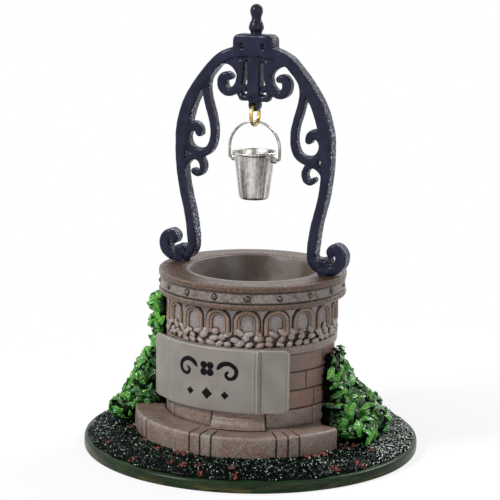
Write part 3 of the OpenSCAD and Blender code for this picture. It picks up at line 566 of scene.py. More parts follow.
def turfFinish():
    # stippled ground: near-black green gloss, each dab its own shade, some dabs pale as painted glints
    material, tree, at = newMaterial("stippled turf paint, glossy")
    dab = add(tree, "Attribute", attribute_name="leafTone")
    twin = add(tree, "Math", {0: dab.outputs["Fac"], 1: 37.7}, operation="MULTIPLY")
    other = add(tree, "Math", {0: twin}, operation="FRACT")
    body = add(tree, "ValToRGB", {0: dab.outputs["Fac"]},
               stops=[(0.3, "#020303"), (0.7, "#060d09"), (0.86, "#1a3224"), (1.0, "#4d6c5a")])
    # painted glints: about one dab in thirteen is painted pale
    pale = add(tree, "Math", {0: other, 1: 0.925}, operation="GREATER_THAN")
    painted = coated(tree, body, (pale, "#bccac2"))
    fine = add(tree, "TexNoise", {"Vector": at, "Scale": 2.2, "Detail": 2.0})
    shine = add(tree, "MapRange", {0: dab.outputs["Fac"], 1: 0.75, 2: 1.0, 3: 0.05, 4: 0.6})
    return finished(material, {"Base Color": painted, "Roughness": 0.1, "Specular IOR Level": shine},
                    (fine, 0.6, 0.0003))


def hedgeFinish():
    # cast foliage: bright green gloss on what stands proud, and painted shade: near-black between the
    # leaves and against the wall; painted highlight: yellow-green along the leaf ridges
    material, tree, at = newMaterial("leaf-green gloss on cast foliage")
    leaf = add(tree, "Attribute", attribute_name="leafTone")
    litCrest = add(tree, "Attribute", attribute_name="litCrest")
    own = add(tree, "Math", {0: leaf.outputs["Fac"], 1: 0.85, 2: 0.25}, operation="MULTIPLY_ADD")
    level = add(tree, "Math", {0: own, 1: litCrest.outputs["Fac"]}, operation="MULTIPLY")
    body = add(tree, "ValToRGB", {0: level},
               stops=[(0.06, "#030603"), (0.25, "#08240f"), (0.45, "#0f431d"), (0.7, "#1f691d"),
                      (1.0, "#409327")])
    # painted highlight: yellow-green along each leaf's ridge and tip
    ridge = add(tree, "Attribute", attribute_name="ridge")
    line = add(tree, "MapRange", {0: ridge.outputs["Fac"], 1: 0.8, 2: 1.0, 4: 0.5})
    lit = add(tree, "Math", {0: line, 1: level}, operation="MULTIPLY")
    painted = coated(tree, body, (lit, "#b7da66"))
    fine = add(tree, "TexNoise", {"Vector": at, "Scale": 1.7, "Detail": 2.0})
    shine = add(tree, "MapRange", {0: level, 1: 0.1, 2: 0.5, 3: 0.02, 4: 0.5})
    return finished(material, {"Base Color": painted, "Roughness": 0.1, "Specular IOR Level": shine},
                    (fine, 0.8, 0.0003))


def hollowFinish():
    # the unlit resin between the leaves: matt near-black green
    material, tree, at = newMaterial("near-black painted shade between the leaves")
    patches = add(tree, "TexNoise", {"Vector": at, "Scale": 0.7, "Detail": 3.0})
    body = add(tree, "ValToRGB", {0: patches}, stops=[(0.35, "#020302"), (0.7, "#07130a")])
    return finished(material, {"Base Color": body, "Roughness": 0.35, "Specular IOR Level": 0.03},
                    (patches, 0.6, 0.0005))


def dabFinish(name, low, high, rough):
    # thick dabs of paint, uneven in tone
    material, tree, at = newMaterial(name)
    own = add(tree, "Attribute", attribute_name="leafTone")
    body = add(tree, "ValToRGB", {0: own.outputs["Fac"]}, stops=[(0.3, low), (1.0, high)])
    fine = add(tree, "TexNoise", {"Vector": at, "Scale": 3.0, "Detail": 2.0})
    return finished(material, {"Base Color": body, "Roughness": rough, "Specular IOR Level": 0.3},
                    (fine, 0.7, 0.0002))


def tinFinish():
    # tinned sheet, drawn: bright, with upright draw marks, here 0.4 mm apart so that they
    # show, and broad darker and paler stripes round it as painted reflections
    material, tree, at = newMaterial("tinned sheet, drawn and brushed upright")
    parts = add(tree, "SeparateXYZ", {0: at})
    turn = add(tree, "Math", {0: parts.outputs[1], 1: parts}, operation="ARCTAN2")
    around = add(tree, "Math", {0: turn, 1: 4.2}, operation="MULTIPLY")
    slow = add(tree, "Math", {0: parts.outputs[2], 1: 0.06}, operation="MULTIPLY")
    spread = add(tree, "CombineXYZ", {0: around, 1: slow})
    brush = add(tree, "TexNoise", {"Vector": spread, "Scale": 2.4, "Detail": 3.0, "Roughness": 0.6})
    # painted reflections: broad stripes of darker and paler tin round the bucket
    reflectionBands = add(tree, "TexNoise", {"Vector": spread, "Scale": 0.33, "Detail": 1.0})
    stains = add(tree, "TexNoise", {"Vector": at, "Scale": 1.1, "Detail": 3.0})
    tone = add(tree, "Math", {0: brush, 1: 0.35, 2: reflectionBands}, operation="MULTIPLY_ADD")
    tone = add(tree, "Math", {0: stains, 1: 0.22, 2: tone}, operation="MULTIPLY_ADD")
    body = add(tree, "ValToRGB", {0: tone},
               stops=[(0.62, "#6b6761"), (0.75, "#b0ada8"), (0.9, "#efedea")])
    rough = add(tree, "MapRange", {0: brush, 1: 0.3, 2: 0.7, 3: 0.34, 4: 0.2})
    return finished(material, {"Base Color": body, "Metallic": 1.0, "Roughness": rough},
                    (brush, 0.3, 0.0001))


def wireFinish(name, low, high, dark, rough, size):
    # drawn metal: fine die lines, handled dull in places, and dark along its outline as painted shade,
    # where the surface turns away from the camera
    material, tree, at = newMaterial(name)
    wear = add(tree, "TexNoise", {"Vector": at, "Scale": 1 / size, "Detail": 3.0, "Roughness": 0.6})
    body = add(tree, "ValToRGB", {0: wear}, stops=[(0.35, low), (0.65, high)])
    facing = add(tree, "LayerWeight", {"Blend": 0.5})
    # painted shade: the outline darkens where the surface turns away from the camera
    outline = add(tree, "MapRange", {0: facing.outputs["Facing"], 1: 0.45, 2: 0.85, 4: 0.85})
    shaded = coated(tree, body, (outline, dark))
    dull = add(tree, "MapRange", {0: wear, 1: 0.3, 2: 0.7, 3: rough + 0.1, 4: rough - 0.04})
    return finished(material, {"Base Color": shaded, "Metallic": 1.0, "Roughness": dull},
                    (wear, 0.15, 0.0001))


plaqueStone = plaqueFinish()
blackEnamel = blackPaint()
ironEnamel = ironFinish()
baseEnamel = baseFinish()
turfPaint = turfFinish()
leafGreen = hedgeFinish()
leafShade = hollowFinish()
tinSheet = tinFinish()
brassWire = wireFinish("brass jump ring, drawn wire", "#a88338", "#e9cf86", "#4a3410", 0.2, 0.8)
bailSteel = wireFinish("flat steel strip, slightly tarnished", "#7b7874", "#cfccc8", "#23211f", 0.15, 2.5)
# painted glints: white enamel dabs that stand for light caught on the glossy turf
glintDabs = dabFinish("pale turf dabs, white enamel as painted glints", "#b9c4be", "#f2f5f1", 0.2)
rustDabs = dabFinish("rust-red dabs of enamel", "#300c09", "#82392c", 0.3)
print("materials made")


# the base and the planted ground, which has a scalloped border
baseLook = {"radius": 37, "height": 2.4, "round": 0.8, "waver": 0.12}


def makeBase(look):
    loop = roundedLoop([(0, 0, 0), (look["radius"], 0, 0.35),
                        (look["radius"], look["height"], look["round"]), (0, look["height"], 0)], 5)

    def shape(angle, r, z):
        push = look["waver"] * (grain(sin(radians(angle)) * 30, cos(radians(angle)) * 30, z, 14) - 0.5)
        return (r + push * min(1, r / 30), z, 0, 0)
    mesh = lathe("base plate", finer(loop, 1.5), 180, shape)
    settle(makeObject("base_rim", mesh, baseEnamel), "well", ["base_plate"])


makeBase(baseLook)

groundLook = {"z": 2.4, "edge": 0.9, "rise": 1.8, "inner": 17, "inset": 1.3, "waves": 23,
              "waveDepth": 0.28, "sink": 0.42, "slope": 3, "hem": 0.1, "lip": 0.35, "lipDrop": 0.5,
              "coarse": 0.34, "fine": 0.22, "planted": (18.6, 36.2, 2.55)}


def border(angle, look):
    # the same scalloped border as the solid's, as an angle from +X
    wave = sin(radians(look["waves"] * angle)) + sin(radians(7 * angle + 40))
    return baseLook["radius"] - look["inset"] + look["waveDepth"] * wave


def makeGround(look):
    rings, count = 64, 360
    points, faces = [], bandFaces(rings + 1, count)
    for k in range(rings + 1):
        share = k / rings
        for i in range(count):
            angle = 360 * i / count
            turn = radians(angle)
            outer = border(angle, look) - look["hem"]
            r = look["inner"] + (outer - look["inner"]) * share
            x, y = r * cos(turn), r * sin(turn)
            gap = outer - r
            up = (look["rise"] - look["edge"]) * min(1, gap / look["slope"])
            z = look["z"] + look["edge"] + up - look["sink"]
            z += look["coarse"] * grain(x, y, 0, 0.9) + look["fine"] * grain(x, y, 5, 0.45) + 0.12
            z -= look["lipDrop"] * max(0, 1 - gap / look["lip"])
            points.append((x, y, max(z, look["z"] + 0.02)))
    base = len(points)
    for r in (look["inner"], 0):
        for i in range(count):
            turn = radians(360 * i / count)
            reach = border(360 * i / count, look) - look["hem"] if r == 0 else r
            points.append((reach * cos(turn), reach * sin(turn), look["z"] - 0.1))
    for i in range(count):
        j = (i + 1) % count
        faces.append((base + i, base + j, base + count + j, base + count + i))
        faces.append((i, j, base + j, base + i))
        faces.append((rings * count + i, rings * count + j, base + count + j, base + count + i))
    return toMesh("ground", points, faces)


def blade(height, width):
    # one dab of turf: a small bent spike with four sides
    points = [(-width, 0, 0), (0, -width, 0), (width, 0, 0), (0, width, 0),
              (width * 0.5, 0, height * 0.6), (0, width * 0.6, height * 0.55),
              (-width * 0.3, -width * 0.3, height * 0.6), (width * 0.6, width * 0.4, height)]
    faces = [(0, 1, 6), (1, 2, 4), (1, 4, 6), (2, 3, 5), (2, 5, 4), (3, 0, 6), (3, 6, 5), (4, 5, 7),
             (5, 6, 7), (6, 4, 7), (3, 2, 1, 0)]
    return toMesh("blade", points, faces)


def scatterTree(name, material):
    tree, given = nodeTree(name, {"Item": "Object", "Spacing": "Float", "Smallest": "Float",
                                  "Largest": "Float", "Tilt": "Float", "Sink": "Float", "Seed": "Int"})
    spots = add(tree, "GeometryNodeDistributePointsOnFaces",
                {"Mesh": given["Geometry"], "Distance Min": given["Spacing"], "Density Max": 9000000.0,
                 "Seed": given["Seed"]}, distribute_method="POISSON")
    item = add(tree, "GeometryNodeObjectInfo", {0: given["Item"]})
    size = add(tree, "FunctionNodeRandomValue",
               {2: given["Smallest"], 3: given["Largest"], "Seed": given["Seed"]})
    # each item leans up to the tilt either way and turns freely, by half a turn (3.1416) each way
    low = add(tree, "Math", {0: given["Tilt"], 1: -1.0}, operation="MULTIPLY")
    lows = add(tree, "CombineXYZ", {0: low, 1: low, 2: -3.1416})
    highs = add(tree, "CombineXYZ", {0: given["Tilt"], 1: given["Tilt"], 2: 3.1416})
    lean = add(tree, "FunctionNodeRandomValue", {0: lows, 1: highs, "Seed": given["Seed"]},
               data_type="FLOAT_VECTOR")
    placed = add(tree, "GeometryNodeInstanceOnPoints",
                 {"Points": spots.outputs["Points"], "Instance": item.outputs["Geometry"],
                  "Rotation": spots.outputs["Rotation"], "Scale": size.outputs[1]})
    turned = add(tree, "GeometryNodeRotateInstances", {0: placed, "Rotation": lean})
    drop = add(tree, "CombineXYZ", {2: given["Sink"]})
    sunk = add(tree, "GeometryNodeTranslateInstances", {0: turned, "Translation": drop})
    tone = add(tree, "FunctionNodeRandomValue", {2: 0.3, 3: 1.0, "Seed": given["Seed"]})
    marked = add(tree, "GeometryNodeStoreNamedAttribute",
                 {"Geometry": sunk, "Name": "leafTone", "Value": tone.outputs[1]}, data_type="FLOAT",
                 domain="INSTANCE")
    endTree(tree, marked, material)
    return tree


def pebble(seed):
    # a cobble, squashed and knocked about
    points, faces = [(0, 0, 0.55)], []
    rows, cols = 5, 8
    for i in range(1, rows):
        t = pi * i / rows
        for a in turns(cols):
            push = 1 + 0.4 * grain(cos(a) * 2, sin(a) * 2, i, 1.4, seed)
            points.append((0.85 * sin(t) * cos(a) * push, 0.7 * sin(t) * sin(a) * push, 0.55 * cos(t)))
    points.append((0, 0, -0.55))
    last = len(points) - 1
    for k in range(cols):
        m = (k + 1) % cols
        faces.append((0, 1 + k, 1 + m))
        faces.append((last, last - cols + m, last - cols + k))
        for i in range(rows - 2):
            a = 1 + i * cols
            faces.append((a + k, a + cols + k, a + cols + m, a + m))
    # painted shade: each cobble darkens over its lower half
    outline = [min(1, max(0, (0.3 - z) / 0.3)) for _, _, z in points]
    return toMesh("cobble", points, faces, hollow=outline)


def curl(length, width):
    # a curled stroke of paint lying on the ground
    points, radius = [], length / 2
    for i, share in enumerate((0.35, 0.9, 1, 0.85, 0.3)):
        t = radians(-58 + 29 * i)
        for out, lift in ((-1, 0), (0, 1), (1, 0), (0, -1)):
            r = radius + out * width * share
            points.append((r * cos(t) - radius * 0.8, r * sin(t), 0.06 + lift * width * share))
    return toMesh("curl", points, bandFaces(5, 4) + [(0, 1, 2, 3), (16, 17, 18, 19)])


def scatterOnGround(name, ground, keep, material, item, values):
    # the parts of the ground's top where keep(x, y) holds, covered with copies of one item
    inner, outer, low = groundLook["planted"]
    bed = makeObject(name, ground.data.copy(), material)

    def unplanted(face, x, y, z):
        return face.normal.z < 0.3 or z < low or not inner < hypot(x, y) < outer or not keep(x, y)
    cutAway(bed, unplanted)
    stamp = makeObject("stamp", item)
    runTree(bed, scatterTree(name, material), {
        **values, "Item": stamp, "Spacing": values["Spacing"] * mm, "Sink": values["Sink"] * mm})
    bpy.data.objects.remove(stamp)
    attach(bed, "well")
    print(name, "faces:", len(bed.data.polygons))


turfLook = {
    "dab": (0.6, 0.18), "curl": (0.9, 0.085), "petal": 21, "clumpReach": 0.8, "glintFrom": 30.5,
    "glintWide": 6, "glintIn": 27.5, "bare": (25.4, -8),
    "clumps": [(-22.8, -14.1), (-15.8, -21.5), (-10.7, -25.2), (-5.9, -26.2), (-3.5, -26.4), (-13, -32.2),
               (-4.1, -32.3), (-0.7, -33.2), (2.1, -31.8), (3.6, -34.5), (9.1, -30.3), (10.8, -33),
               (-22.5, -25), (20.2, -17), (21.8, -15.6), (23, -13.6), (28, -20.3), (31.4, -14.8),
               (31.1, -6.2), (25.4, -7.2), (26.6, -4.9)],
    "bed": {"Spacing": 0.4, "Smallest": 0.5, "Largest": 1.15, "Tilt": 1.1, "Sink": -0.04, "Seed": 4},
    "glints": {"Spacing": 0.68, "Smallest": 0.6, "Largest": 1.25, "Tilt": 0.4, "Sink": 0.2, "Seed": 6},
    "rust": {"Spacing": 0.42, "Smallest": 0.25, "Largest": 0.55, "Tilt": 1.2, "Sink": 0.15, "Seed": 9}}


def makeTurf(look):
    ground = makeObject("turf_ground", makeGround(groundLook), turfPaint)

    def openGround(x, y):
        reach, front = look["bare"]
        return not (hypot(x, y) < reach and y < front)

    # painted glints: the pale dabs crowd the right-hand part of the ground, beyond a wavering edge
    def glinting(x, y):
        edge = look["glintFrom"] - look["glintWide"] * max(0, grain(x, y, 0, 2.6, 3))
        return x + 0.3 * y > edge and hypot(x, y) > look["glintIn"]

    def clumped(x, y):
        return min(hypot(x - a, y - b) for a, b in look["clumps"]) < look["clumpReach"]
    scatterOnGround("turf_bed", ground, openGround, turfPaint, blade(*look["dab"]), look["bed"])
    scatterOnGround("turf_frost", ground, glinting, glintDabs, curl(*look["curl"]), look["glints"])
    scatterOnGround("turf_rust", ground, clumped, rustDabs, pebble(look["petal"]), look["rust"])
    settle(ground, "well", ["ground_cover"])


makeTurf(turfLook)
print("base and ground made")


# the stonework, from the foundation up to the coping and the bowl in it
stoneLook = {"drum": 18.4, "foundation": 18.85, "tread": 8.5, "foundationTop": 12.1, "brick": 4.05,
             "brickTop": 24.25, "ledgeTop": 26.1, "pebbleTop": 28.9, "arcadeTop": 34.4, "bore": 14.95,
             "step": 25.7, "foundationIn": 16.5, "brickIn": 16.4, "bandIn": 15.2, "foundationFoot": 3.6,
             "stepFoot": 3.7, "stepStart": -69.4, "stepSweep": 138.8, "jointWidth": 0.19,
             "jointDepth": 0.26, "foundationTurn": -3.3, "brickJoint": 0.17, "brickJointDepth": 0.24,
             "brickTurns": (-0.8, 27.3, 8.8), "coveStart": -2.6, "coveSweep": 35, "coveSize": 2.2,
             "mouth": 14.0, "bowlTop": 39.62, "bowlFoot": 24.25, "bowlFloor": (11.0, 25.85),
             "bowlLight": ((163, 0.5), (75, -0.4)), "blocks": 10,
             "stepJoints": [-1.5 + 43 * g + 5.8 * j for g in (-1, 0, 1) for j in (-1, 0, 1)]}

# lines: how dark the painted shade is along each ring's lower and upper edges
ringLooks = {
    "plain_ledge": {"inner": 15.2, "outer": 18.8, "low": 24.25, "high": 26.08, "edge": 0.3,
                    "waver": 0.09, "lines": (0.5, 0.25)},
    "round_moulding": {"inner": 15.2, "outer": 20.55, "low": 34.42, "high": 35.9, "edge": 0.72,
                       "waver": 0.12, "lines": (0.85, 0.85)},
    "studded_band": {"inner": 15.2, "outer": 20.35, "low": 35.9, "high": 38.25, "edge": 0.06,
                     "waver": 0.14, "lines": (0.85, 0.85)},
    "coping_ring": {"inner": 15.0, "outer": 20.6, "low": 38.25, "high": 39.72, "edge": 0.42,
                    "waver": 0.1, "lines": (0.85, 0)}}


def jointNearness(angle, radius, joints, width):
    # 1 in the middle of an upright joint, fading over its width
    near = min(abs((angle - j + 180) % 360 - 180) for j in joints)
    away = radians(near) * radius
    return exp(-(away / width) ** 2)


# how each stone piece wavers: how far it's sunk in, then waves of (amount, size, seed)
stoneWaves = {"foundation": (0.07, (0.16, 4, 3), (0.05, 0.8, 4)),
              "step": (0.1, (0.2, 4.5, 5), (0.06, 0.9, 6)),
              "bricks": (0.08, (0.1, 2.2, 8), (0.05, 0.6, 9)), "cove": (0, (0.05, 2, 7)),
              "arcade": (0.03, (0.06, 1.2, 10)), "mortar": (0, (0.12, 0.8, 11)), "bowl": (0, (0.08, 4, 12))}


def handmade(angle, r, z, amount, size, seed=0):
    # an uneven push of up to about the amount, in lumps of the size
    turn = radians(angle)
    return amount * grain(r * sin(turn), r * cos(turn), z, size, seed)


def waved(angle, r, z, name, push=0):
    sunk, *waves = stoneWaves[name]
    for wave in waves:
        push += handmade(angle, r, z, *wave)
    return push - sunk


def stoneRing(name, node, material):
    # a turned ring, a little wavy, with painted shade: dark lines along its lower and upper edges, where it
    # meets its neighbours, and darker where its surface sinks in
    look = ringLooks[name]
    inner, outer, low, high = (look[k] for k in ("inner", "outer", "low", "high"))
    edge, waver, lines = (look[k] for k in ("edge", "waver", "lines"))
    loop = finer(roundedLoop([(inner, low, 0), (outer, low, edge), (outer, high, edge),
                              (inner, high, 0)]), 0.45)

    def shape(angle, r, z):
        if r < inner + 0.05:
            return (r, z, 0, 0)
        push = handmade(angle, r, z, waver, 3.2, 1.3) - waver * 0.3
        push += handmade(angle, r, z, waver * 0.5, 0.9, 2.1)
        line = max(lines[0] * exp(-((z - low) / 0.2) ** 2), lines[1] * exp(-((high - z) / 0.2) ** 2))
        deep = max(line, 0.12 * max(0, -push / waver))
        return (r + push, z + push * 0.3 * (1 if z < high - 0.02 else -0.2), deep, 0)
    settle(makeObject(name, lathe(name, loop, 360, shape), material), "well", [node])


def makeFoundation(look):
    joints = [look["foundationTurn"] + 360 / look["blocks"] * k for k in range(look["blocks"])]
    r0, r1 = look["foundationIn"], look["foundation"]
    foot, top = look["foundationFoot"], look["foundationTop"]
    loop = finer(roundedLoop([(r0, foot, 0), (r1, foot, 0), (r1, top, 0.35), (r0, top, 0)]), 0.4)

    def shape(angle, r, z):
        cut = jointNearness(angle, r1, joints, look["jointWidth"]) if r > r1 - 1 else 0
        push = waved(angle, r, z, "foundation")
        # painted shade: darker at the foot of the blocks, where they meet the tread
        nookShade = exp(-((z - look["tread"]) / 0.3) ** 2) * 0.5
        return (r - cut * look["jointDepth"] + push * (r > 17), z, max(cut, nookShade), 0)
    settle(makeObject("foundation_blocks", lathe("foundation", loop, 900, shape), greyStone), "well",
           ["foundation_course"])


def makeStep(look):
    r0, r1, foot, top = look["foundation"] + 0.05, look["step"], look["stepFoot"], look["tread"]
    loop = finer(roundedLoop([(r0, foot, 0), (r1, foot, 0), (r1, top, 0.75), (r0, top, 0)], 6), 0.35)

    def shape(angle, r, z):
        cut = jointNearness(angle, r1, look["stepJoints"], look["jointWidth"] * 1.1)
        onTread = min(1, max(0, (r - r0 - 2) / 0.4))
        cut *= 1 if z < top - 1 else onTread
        push = waved(angle, r, z, "step")
        outside = 1 if r > r1 - 1.2 else 0
        down = (push * 0.5 - cut * look["jointDepth"]) if z > top - 0.2 else 0
        back = push - cut * look["jointDepth"] if outside else 0
        # painted shade: darker along the tread where it meets the foundation
        nookShade = 0.55 * exp(-((r - r0) / 0.4) ** 2) if z > top - 0.3 else 0
        return (r + back, z + down, max(cut, nookShade), 0.25 * grain(r, angle / 9, z, 2.2, 9))
    mesh = lathe("step", loop, 560, shape, look["stepStart"], look["stepSweep"])
    settle(makeObject("front_step", mesh, greyStone), "well", ["step"])


def makeCove(look):
    r0, size, z0 = look["foundation"] - 0.02, look["coveSize"], look["tread"] - 0.02
    sides = (look["coveStart"], look["coveStart"] + look["coveSweep"])
    bends = [pi / 2 * k / 12 for k in range(13)]
    arc = [(r0 + size - (size - 0.24) * sin(t), z0 + size - (size - 0.24) * cos(t)) for t in bends]
    loop = finer([(r0, z0)] + arc + [(r0, z0 + size)], 0.3)

    def shape(angle, r, z):
        push = waved(angle, r, z, "cove")
        ends = max(exp(-(radians(angle - end) * r / 0.16) ** 2) for end in sides)
        return (r + push * (r > r0 + 0.1), z + push * (z > z0 + 0.1), ends, 0.1)
    mesh = lathe("cove", loop, 120, shape, look["coveStart"], look["coveSweep"])
    settle(makeObject("front_cove_stone", mesh, greyStone), "well", ["cove_stone"])


def makeBricks(look):
    z0, z1, r1 = look["foundationTop"], look["brickTop"], look["drum"]
    hidden = look["brickIn"]
    loop = [(hidden, z0)] + finer([(r1, z0), (r1, z1)], 0.17, closed=False) + [(hidden, z1)]
    rows, width, pitch = len(look["brickTurns"]), look["brickJoint"], 360 / look["blocks"]

    def shape(angle, r, z):
        if r < r1 - 0.1:
            return (r, z, 0, 0)
        row = min(rows - 1, max(0, int((z - z0) / look["brick"])))
        joints = [look["brickTurns"][row] + pitch * k for k in range(look["blocks"])]
        level = (z - z0) / look["brick"]
        bed = exp(-((level - round(level)) * look["brick"] / width) ** 2)
        cut = max(bed, jointNearness(angle, r1, joints, width))
        brickNumber = floor(((angle - joints[0]) % 360) / pitch) + 17 * row
        tilt = 0.07 * sin(brickNumber * 12.7) * sin(radians((angle - joints[0]) % pitch * 180 / pitch))
        push = waved(angle, r, z, "bricks", tilt)
        return (r + push - look["brickJointDepth"] * cut, z, cut, 0.35 * sin(brickNumber * 2.1))
    settle(makeObject("brick_wall", lathe("bricks", loop, 900, shape), brickStone), "well",
           ["brick_drum"])


# each line of a moulding: its distance from the arch's middle, half its width, and its rise or depth
archLook = {"pitch": 20, "spring": 2.65, "slip": 0.12, "uneven": 0.05, "outer": (2.32, 0.48, 0.58),
            "inner": (1.62, 0.2, 0.26), "niche": (1.42, 0.15, 0.28), "gap": (2.86, 0.16, 0.9), "seam": (1.83, 0.07, 0.9),
            "rim": (1.38, 0.09, 0.75), "spandrel": (3.0, 0.2, 0.12)}


def makeArcade(look, arch):
    z0, z1, r0, hidden = look["pebbleTop"], look["arcadeTop"], look["drum"] - 0.05, look["bandIn"]
    loop = [(hidden, z0)] + finer([(r0, z0), (r0, z1)], 0.13, closed=False) + [(hidden, z1)]

    def shape(angle, r, z):
        if r < r0 - 0.05:
            return (r, z, 0, 0)
        number = round(angle / arch["pitch"])
        slip = arch["slip"] * sin(number * 7.3)
        u = radians(angle - number * arch["pitch"]) * r0 + slip
        v = z - z0
        away = hypot(u, v - arch["spring"]) if v > arch["spring"] else abs(u)
        away += arch["uneven"] * grain(angle / 3, z, number, 1.0, 3)
        rise = 0
        for middle, half, height in (arch["outer"], arch["inner"]):
            out = (away - middle) / half
            rise = max(rise, height * sqrt(max(0, 1 - out * out)) if abs(out) < 1 else 0)
        # painted shade: dark lines in the grooves between and around the arches
        gap, seam, rim = (exp(-((away - middle) / half) ** 2) * depth
                          for middle, half, depth in (arch["gap"], arch["seam"], arch["rim"]))
        reach, blend, depth = arch["niche"]
        niche = min(1, max(0, (reach - away) / blend))
        start, slope, height = arch["spandrel"]
        spandrel = min(1, max(0, (away - start) / slope))
        push = rise - depth * niche - 0.3 * gap - 0.06 * seam + height * spandrel
        push += waved(angle, r, z, "arcade")
        return (r + push, z, max(gap, seam, rim), 0.8 if rise > 0.02 else -0.5)
    settle(makeObject("arcade", lathe("arcade", loop, 1080, shape), archStone), "well", ["arcade_band"])


def ringTree(name, material):
    # items in a ring, each facing outwards, with a random turn, size and shift
    tree, given = nodeTree(name, {"Item": "Object", "Count": "Int", "Radius": "Float", "Height": "Float",
                                  "Start": "Float", "Spread": "Float", "Smallest": "Vector",
                                  "Largest": "Vector", "Roll": "Float", "Seed": "Int"})
    line = add(tree, "GeometryNodeMeshLine", {"Count": given["Count"]})
    index = add(tree, "GeometryNodeInputIndex")
    step = add(tree, "Math", {0: 2 * pi, 1: given["Count"]}, operation="DIVIDE")
    turn = add(tree, "Math", {0: index, 1: step, 2: given["Start"]}, operation="MULTIPLY_ADD")
    jitter = add(tree, "FunctionNodeRandomValue", {0: (-1, -1, -1), 1: (1, 1, 1), "Seed": given["Seed"]},
                 data_type="FLOAT_VECTOR")
    drift = add(tree, "VectorMath", {0: jitter, 3: given["Spread"]}, operation="SCALE")
    sides = add(tree, "SeparateXYZ", {0: drift})
    shift = add(tree, "Math", {0: sides, 1: given["Radius"]}, operation="DIVIDE")
    angle = add(tree, "Math", {0: turn, 1: shift}, operation="ADD")
    sine = add(tree, "Math", {0: angle}, operation="SINE")
    cosine = add(tree, "Math", {0: angle}, operation="COSINE")
    x = add(tree, "Math", {0: sine, 1: given["Radius"]}, operation="MULTIPLY")
    y = add(tree, "Math", {0: cosine, 1: given["Radius"]}, operation="MULTIPLY")
    back = add(tree, "Math", {0: y, 1: -1.0}, operation="MULTIPLY")
    z = add(tree, "Math", {0: sides.outputs[1], 1: given["Height"]}, operation="ADD")
    spot = add(tree, "CombineXYZ", {0: x, 1: back, 2: z})
    moved = add(tree, "GeometryNodeSetPosition", {0: line, "Position": spot})
    item = add(tree, "GeometryNodeObjectInfo", {0: given["Item"]})
    size = add(tree, "FunctionNodeRandomValue",
               {0: given["Smallest"], 1: given["Largest"], "Seed": given["Seed"]},
               data_type="FLOAT_VECTOR")
    aim = add(tree, "CombineXYZ", {0: pi / 2, 2: angle})
    placed = add(tree, "GeometryNodeInstanceOnPoints",
                 {"Points": moved, "Instance": item.outputs["Geometry"], "Rotation": aim, "Scale": size})
    least = add(tree, "Math", {0: given["Roll"], 1: -1.0}, operation="MULTIPLY")
    roll = add(tree, "FunctionNodeRandomValue", {2: least, 3: given["Roll"], "Seed": given["Seed"]})
    spin = add(tree, "CombineXYZ", {2: roll.outputs[1]})
    turned = add(tree, "GeometryNodeRotateInstances", {0: placed, "Rotation": spin})
    endTree(tree, turned, material)
    return tree


pebbleLook = {"rows": [{"count": 52, "height": 26.8, "start": 0.02, "radius": 18.3, "seed": 3},
                       {"count": 46, "height": 27.9, "start": 0.07, "radius": 18.3, "seed": 8},
                       {"count": 48, "height": 29.0, "start": 0.11, "radius": 18.2, "seed": 13}],
              "smallest": (1.0, 0.95, 0.9), "largest": (1.75, 1.35, 1.35), "spread": 0.35, "roll": 0.9,
              "mortar": 18.15}


def makePebbles(look, pebbles):
    r0, r1, z0, z1 = look["bandIn"], pebbles["mortar"], look["ledgeTop"], look["pebbleTop"]
    wall = finer([(r0, z0), (r1, z0), (r1, z1), (r0, z1)], 0.5)

    def shape(angle, r, z):
        # painted shade: the mortar, seen only between the cobbles, is darkened all over
        return (r + waved(angle, r, z, "mortar") * (r > 17), z, 0.8, 0)
    mortar = makeObject("pebble_mortar", lathe("mortar", wall, 180, shape), cobbleStone)
    tree = ringTree("ring of cobbles", cobbleStone)
    rows = []
    for row in pebbles["rows"]:
        item = makeObject("cobble", pebble(row["seed"]))
        piece = makeObject("row", bpy.data.meshes.new("row"))
        runTree(piece, tree, {"Item": item, "Count": row["count"], "Radius": row["radius"] * mm,
                              "Height": row["height"] * mm, "Start": row["start"],
                              "Spread": pebbles["spread"] * mm, "Smallest": pebbles["smallest"],
                              "Largest": pebbles["largest"], "Roll": pebbles["roll"],
                              "Seed": row["seed"]})
        bpy.data.objects.remove(item)
        rows.append(piece)
    cobbles = makeObject("cobbles", joined("cobbles", rows), cobbleStone)
    settle(mortar, "well", ["pebble_band"])
    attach(cobbles, "well")


studLook = {"count": 18, "radius": 20.3, "height": 37.08, "sides": 12,
            "profile": [(0, -0.25), (0.76, -0.25), (0.76, 0.03), (0.546, 0.06), (0.52, 0.14),
                        (0.416, 0.28), (0.208, 0.36), (0, 0.38)]}


def makeStuds(look):
    points = [(x * cos(a), x * sin(a), z) for x, z in look["profile"] for a in turns(look["sides"])]
    # painted shade: the washer round each stud's foot takes the darkest colour
    washer = [1.0 if z < 0.1 else 0.0 for _, _, z in points]
    faces = bandFaces(len(look["profile"]), look["sides"])
    item = makeObject("stud", toMesh("stud", points, faces, hollow=washer, tone=[0.4] * len(points)))
    piece = makeObject("band_studs", bpy.data.meshes.new("band studs"))
    runTree(piece, ringTree("ring of studs", studIron), {
        "Item": item, "Count": look["count"], "Radius": look["radius"] * mm,
        "Height": look["height"] * mm,
        "Start": 0.0, "Spread": 0.06 * mm, "Smallest": (0.9, 0.9, 0.9), "Largest": (1.05, 1.05, 1.05),
        "Roll": 3.0, "Seed": 5})
    bpy.data.objects.remove(item)
    settle(piece, "well", ["studs"])


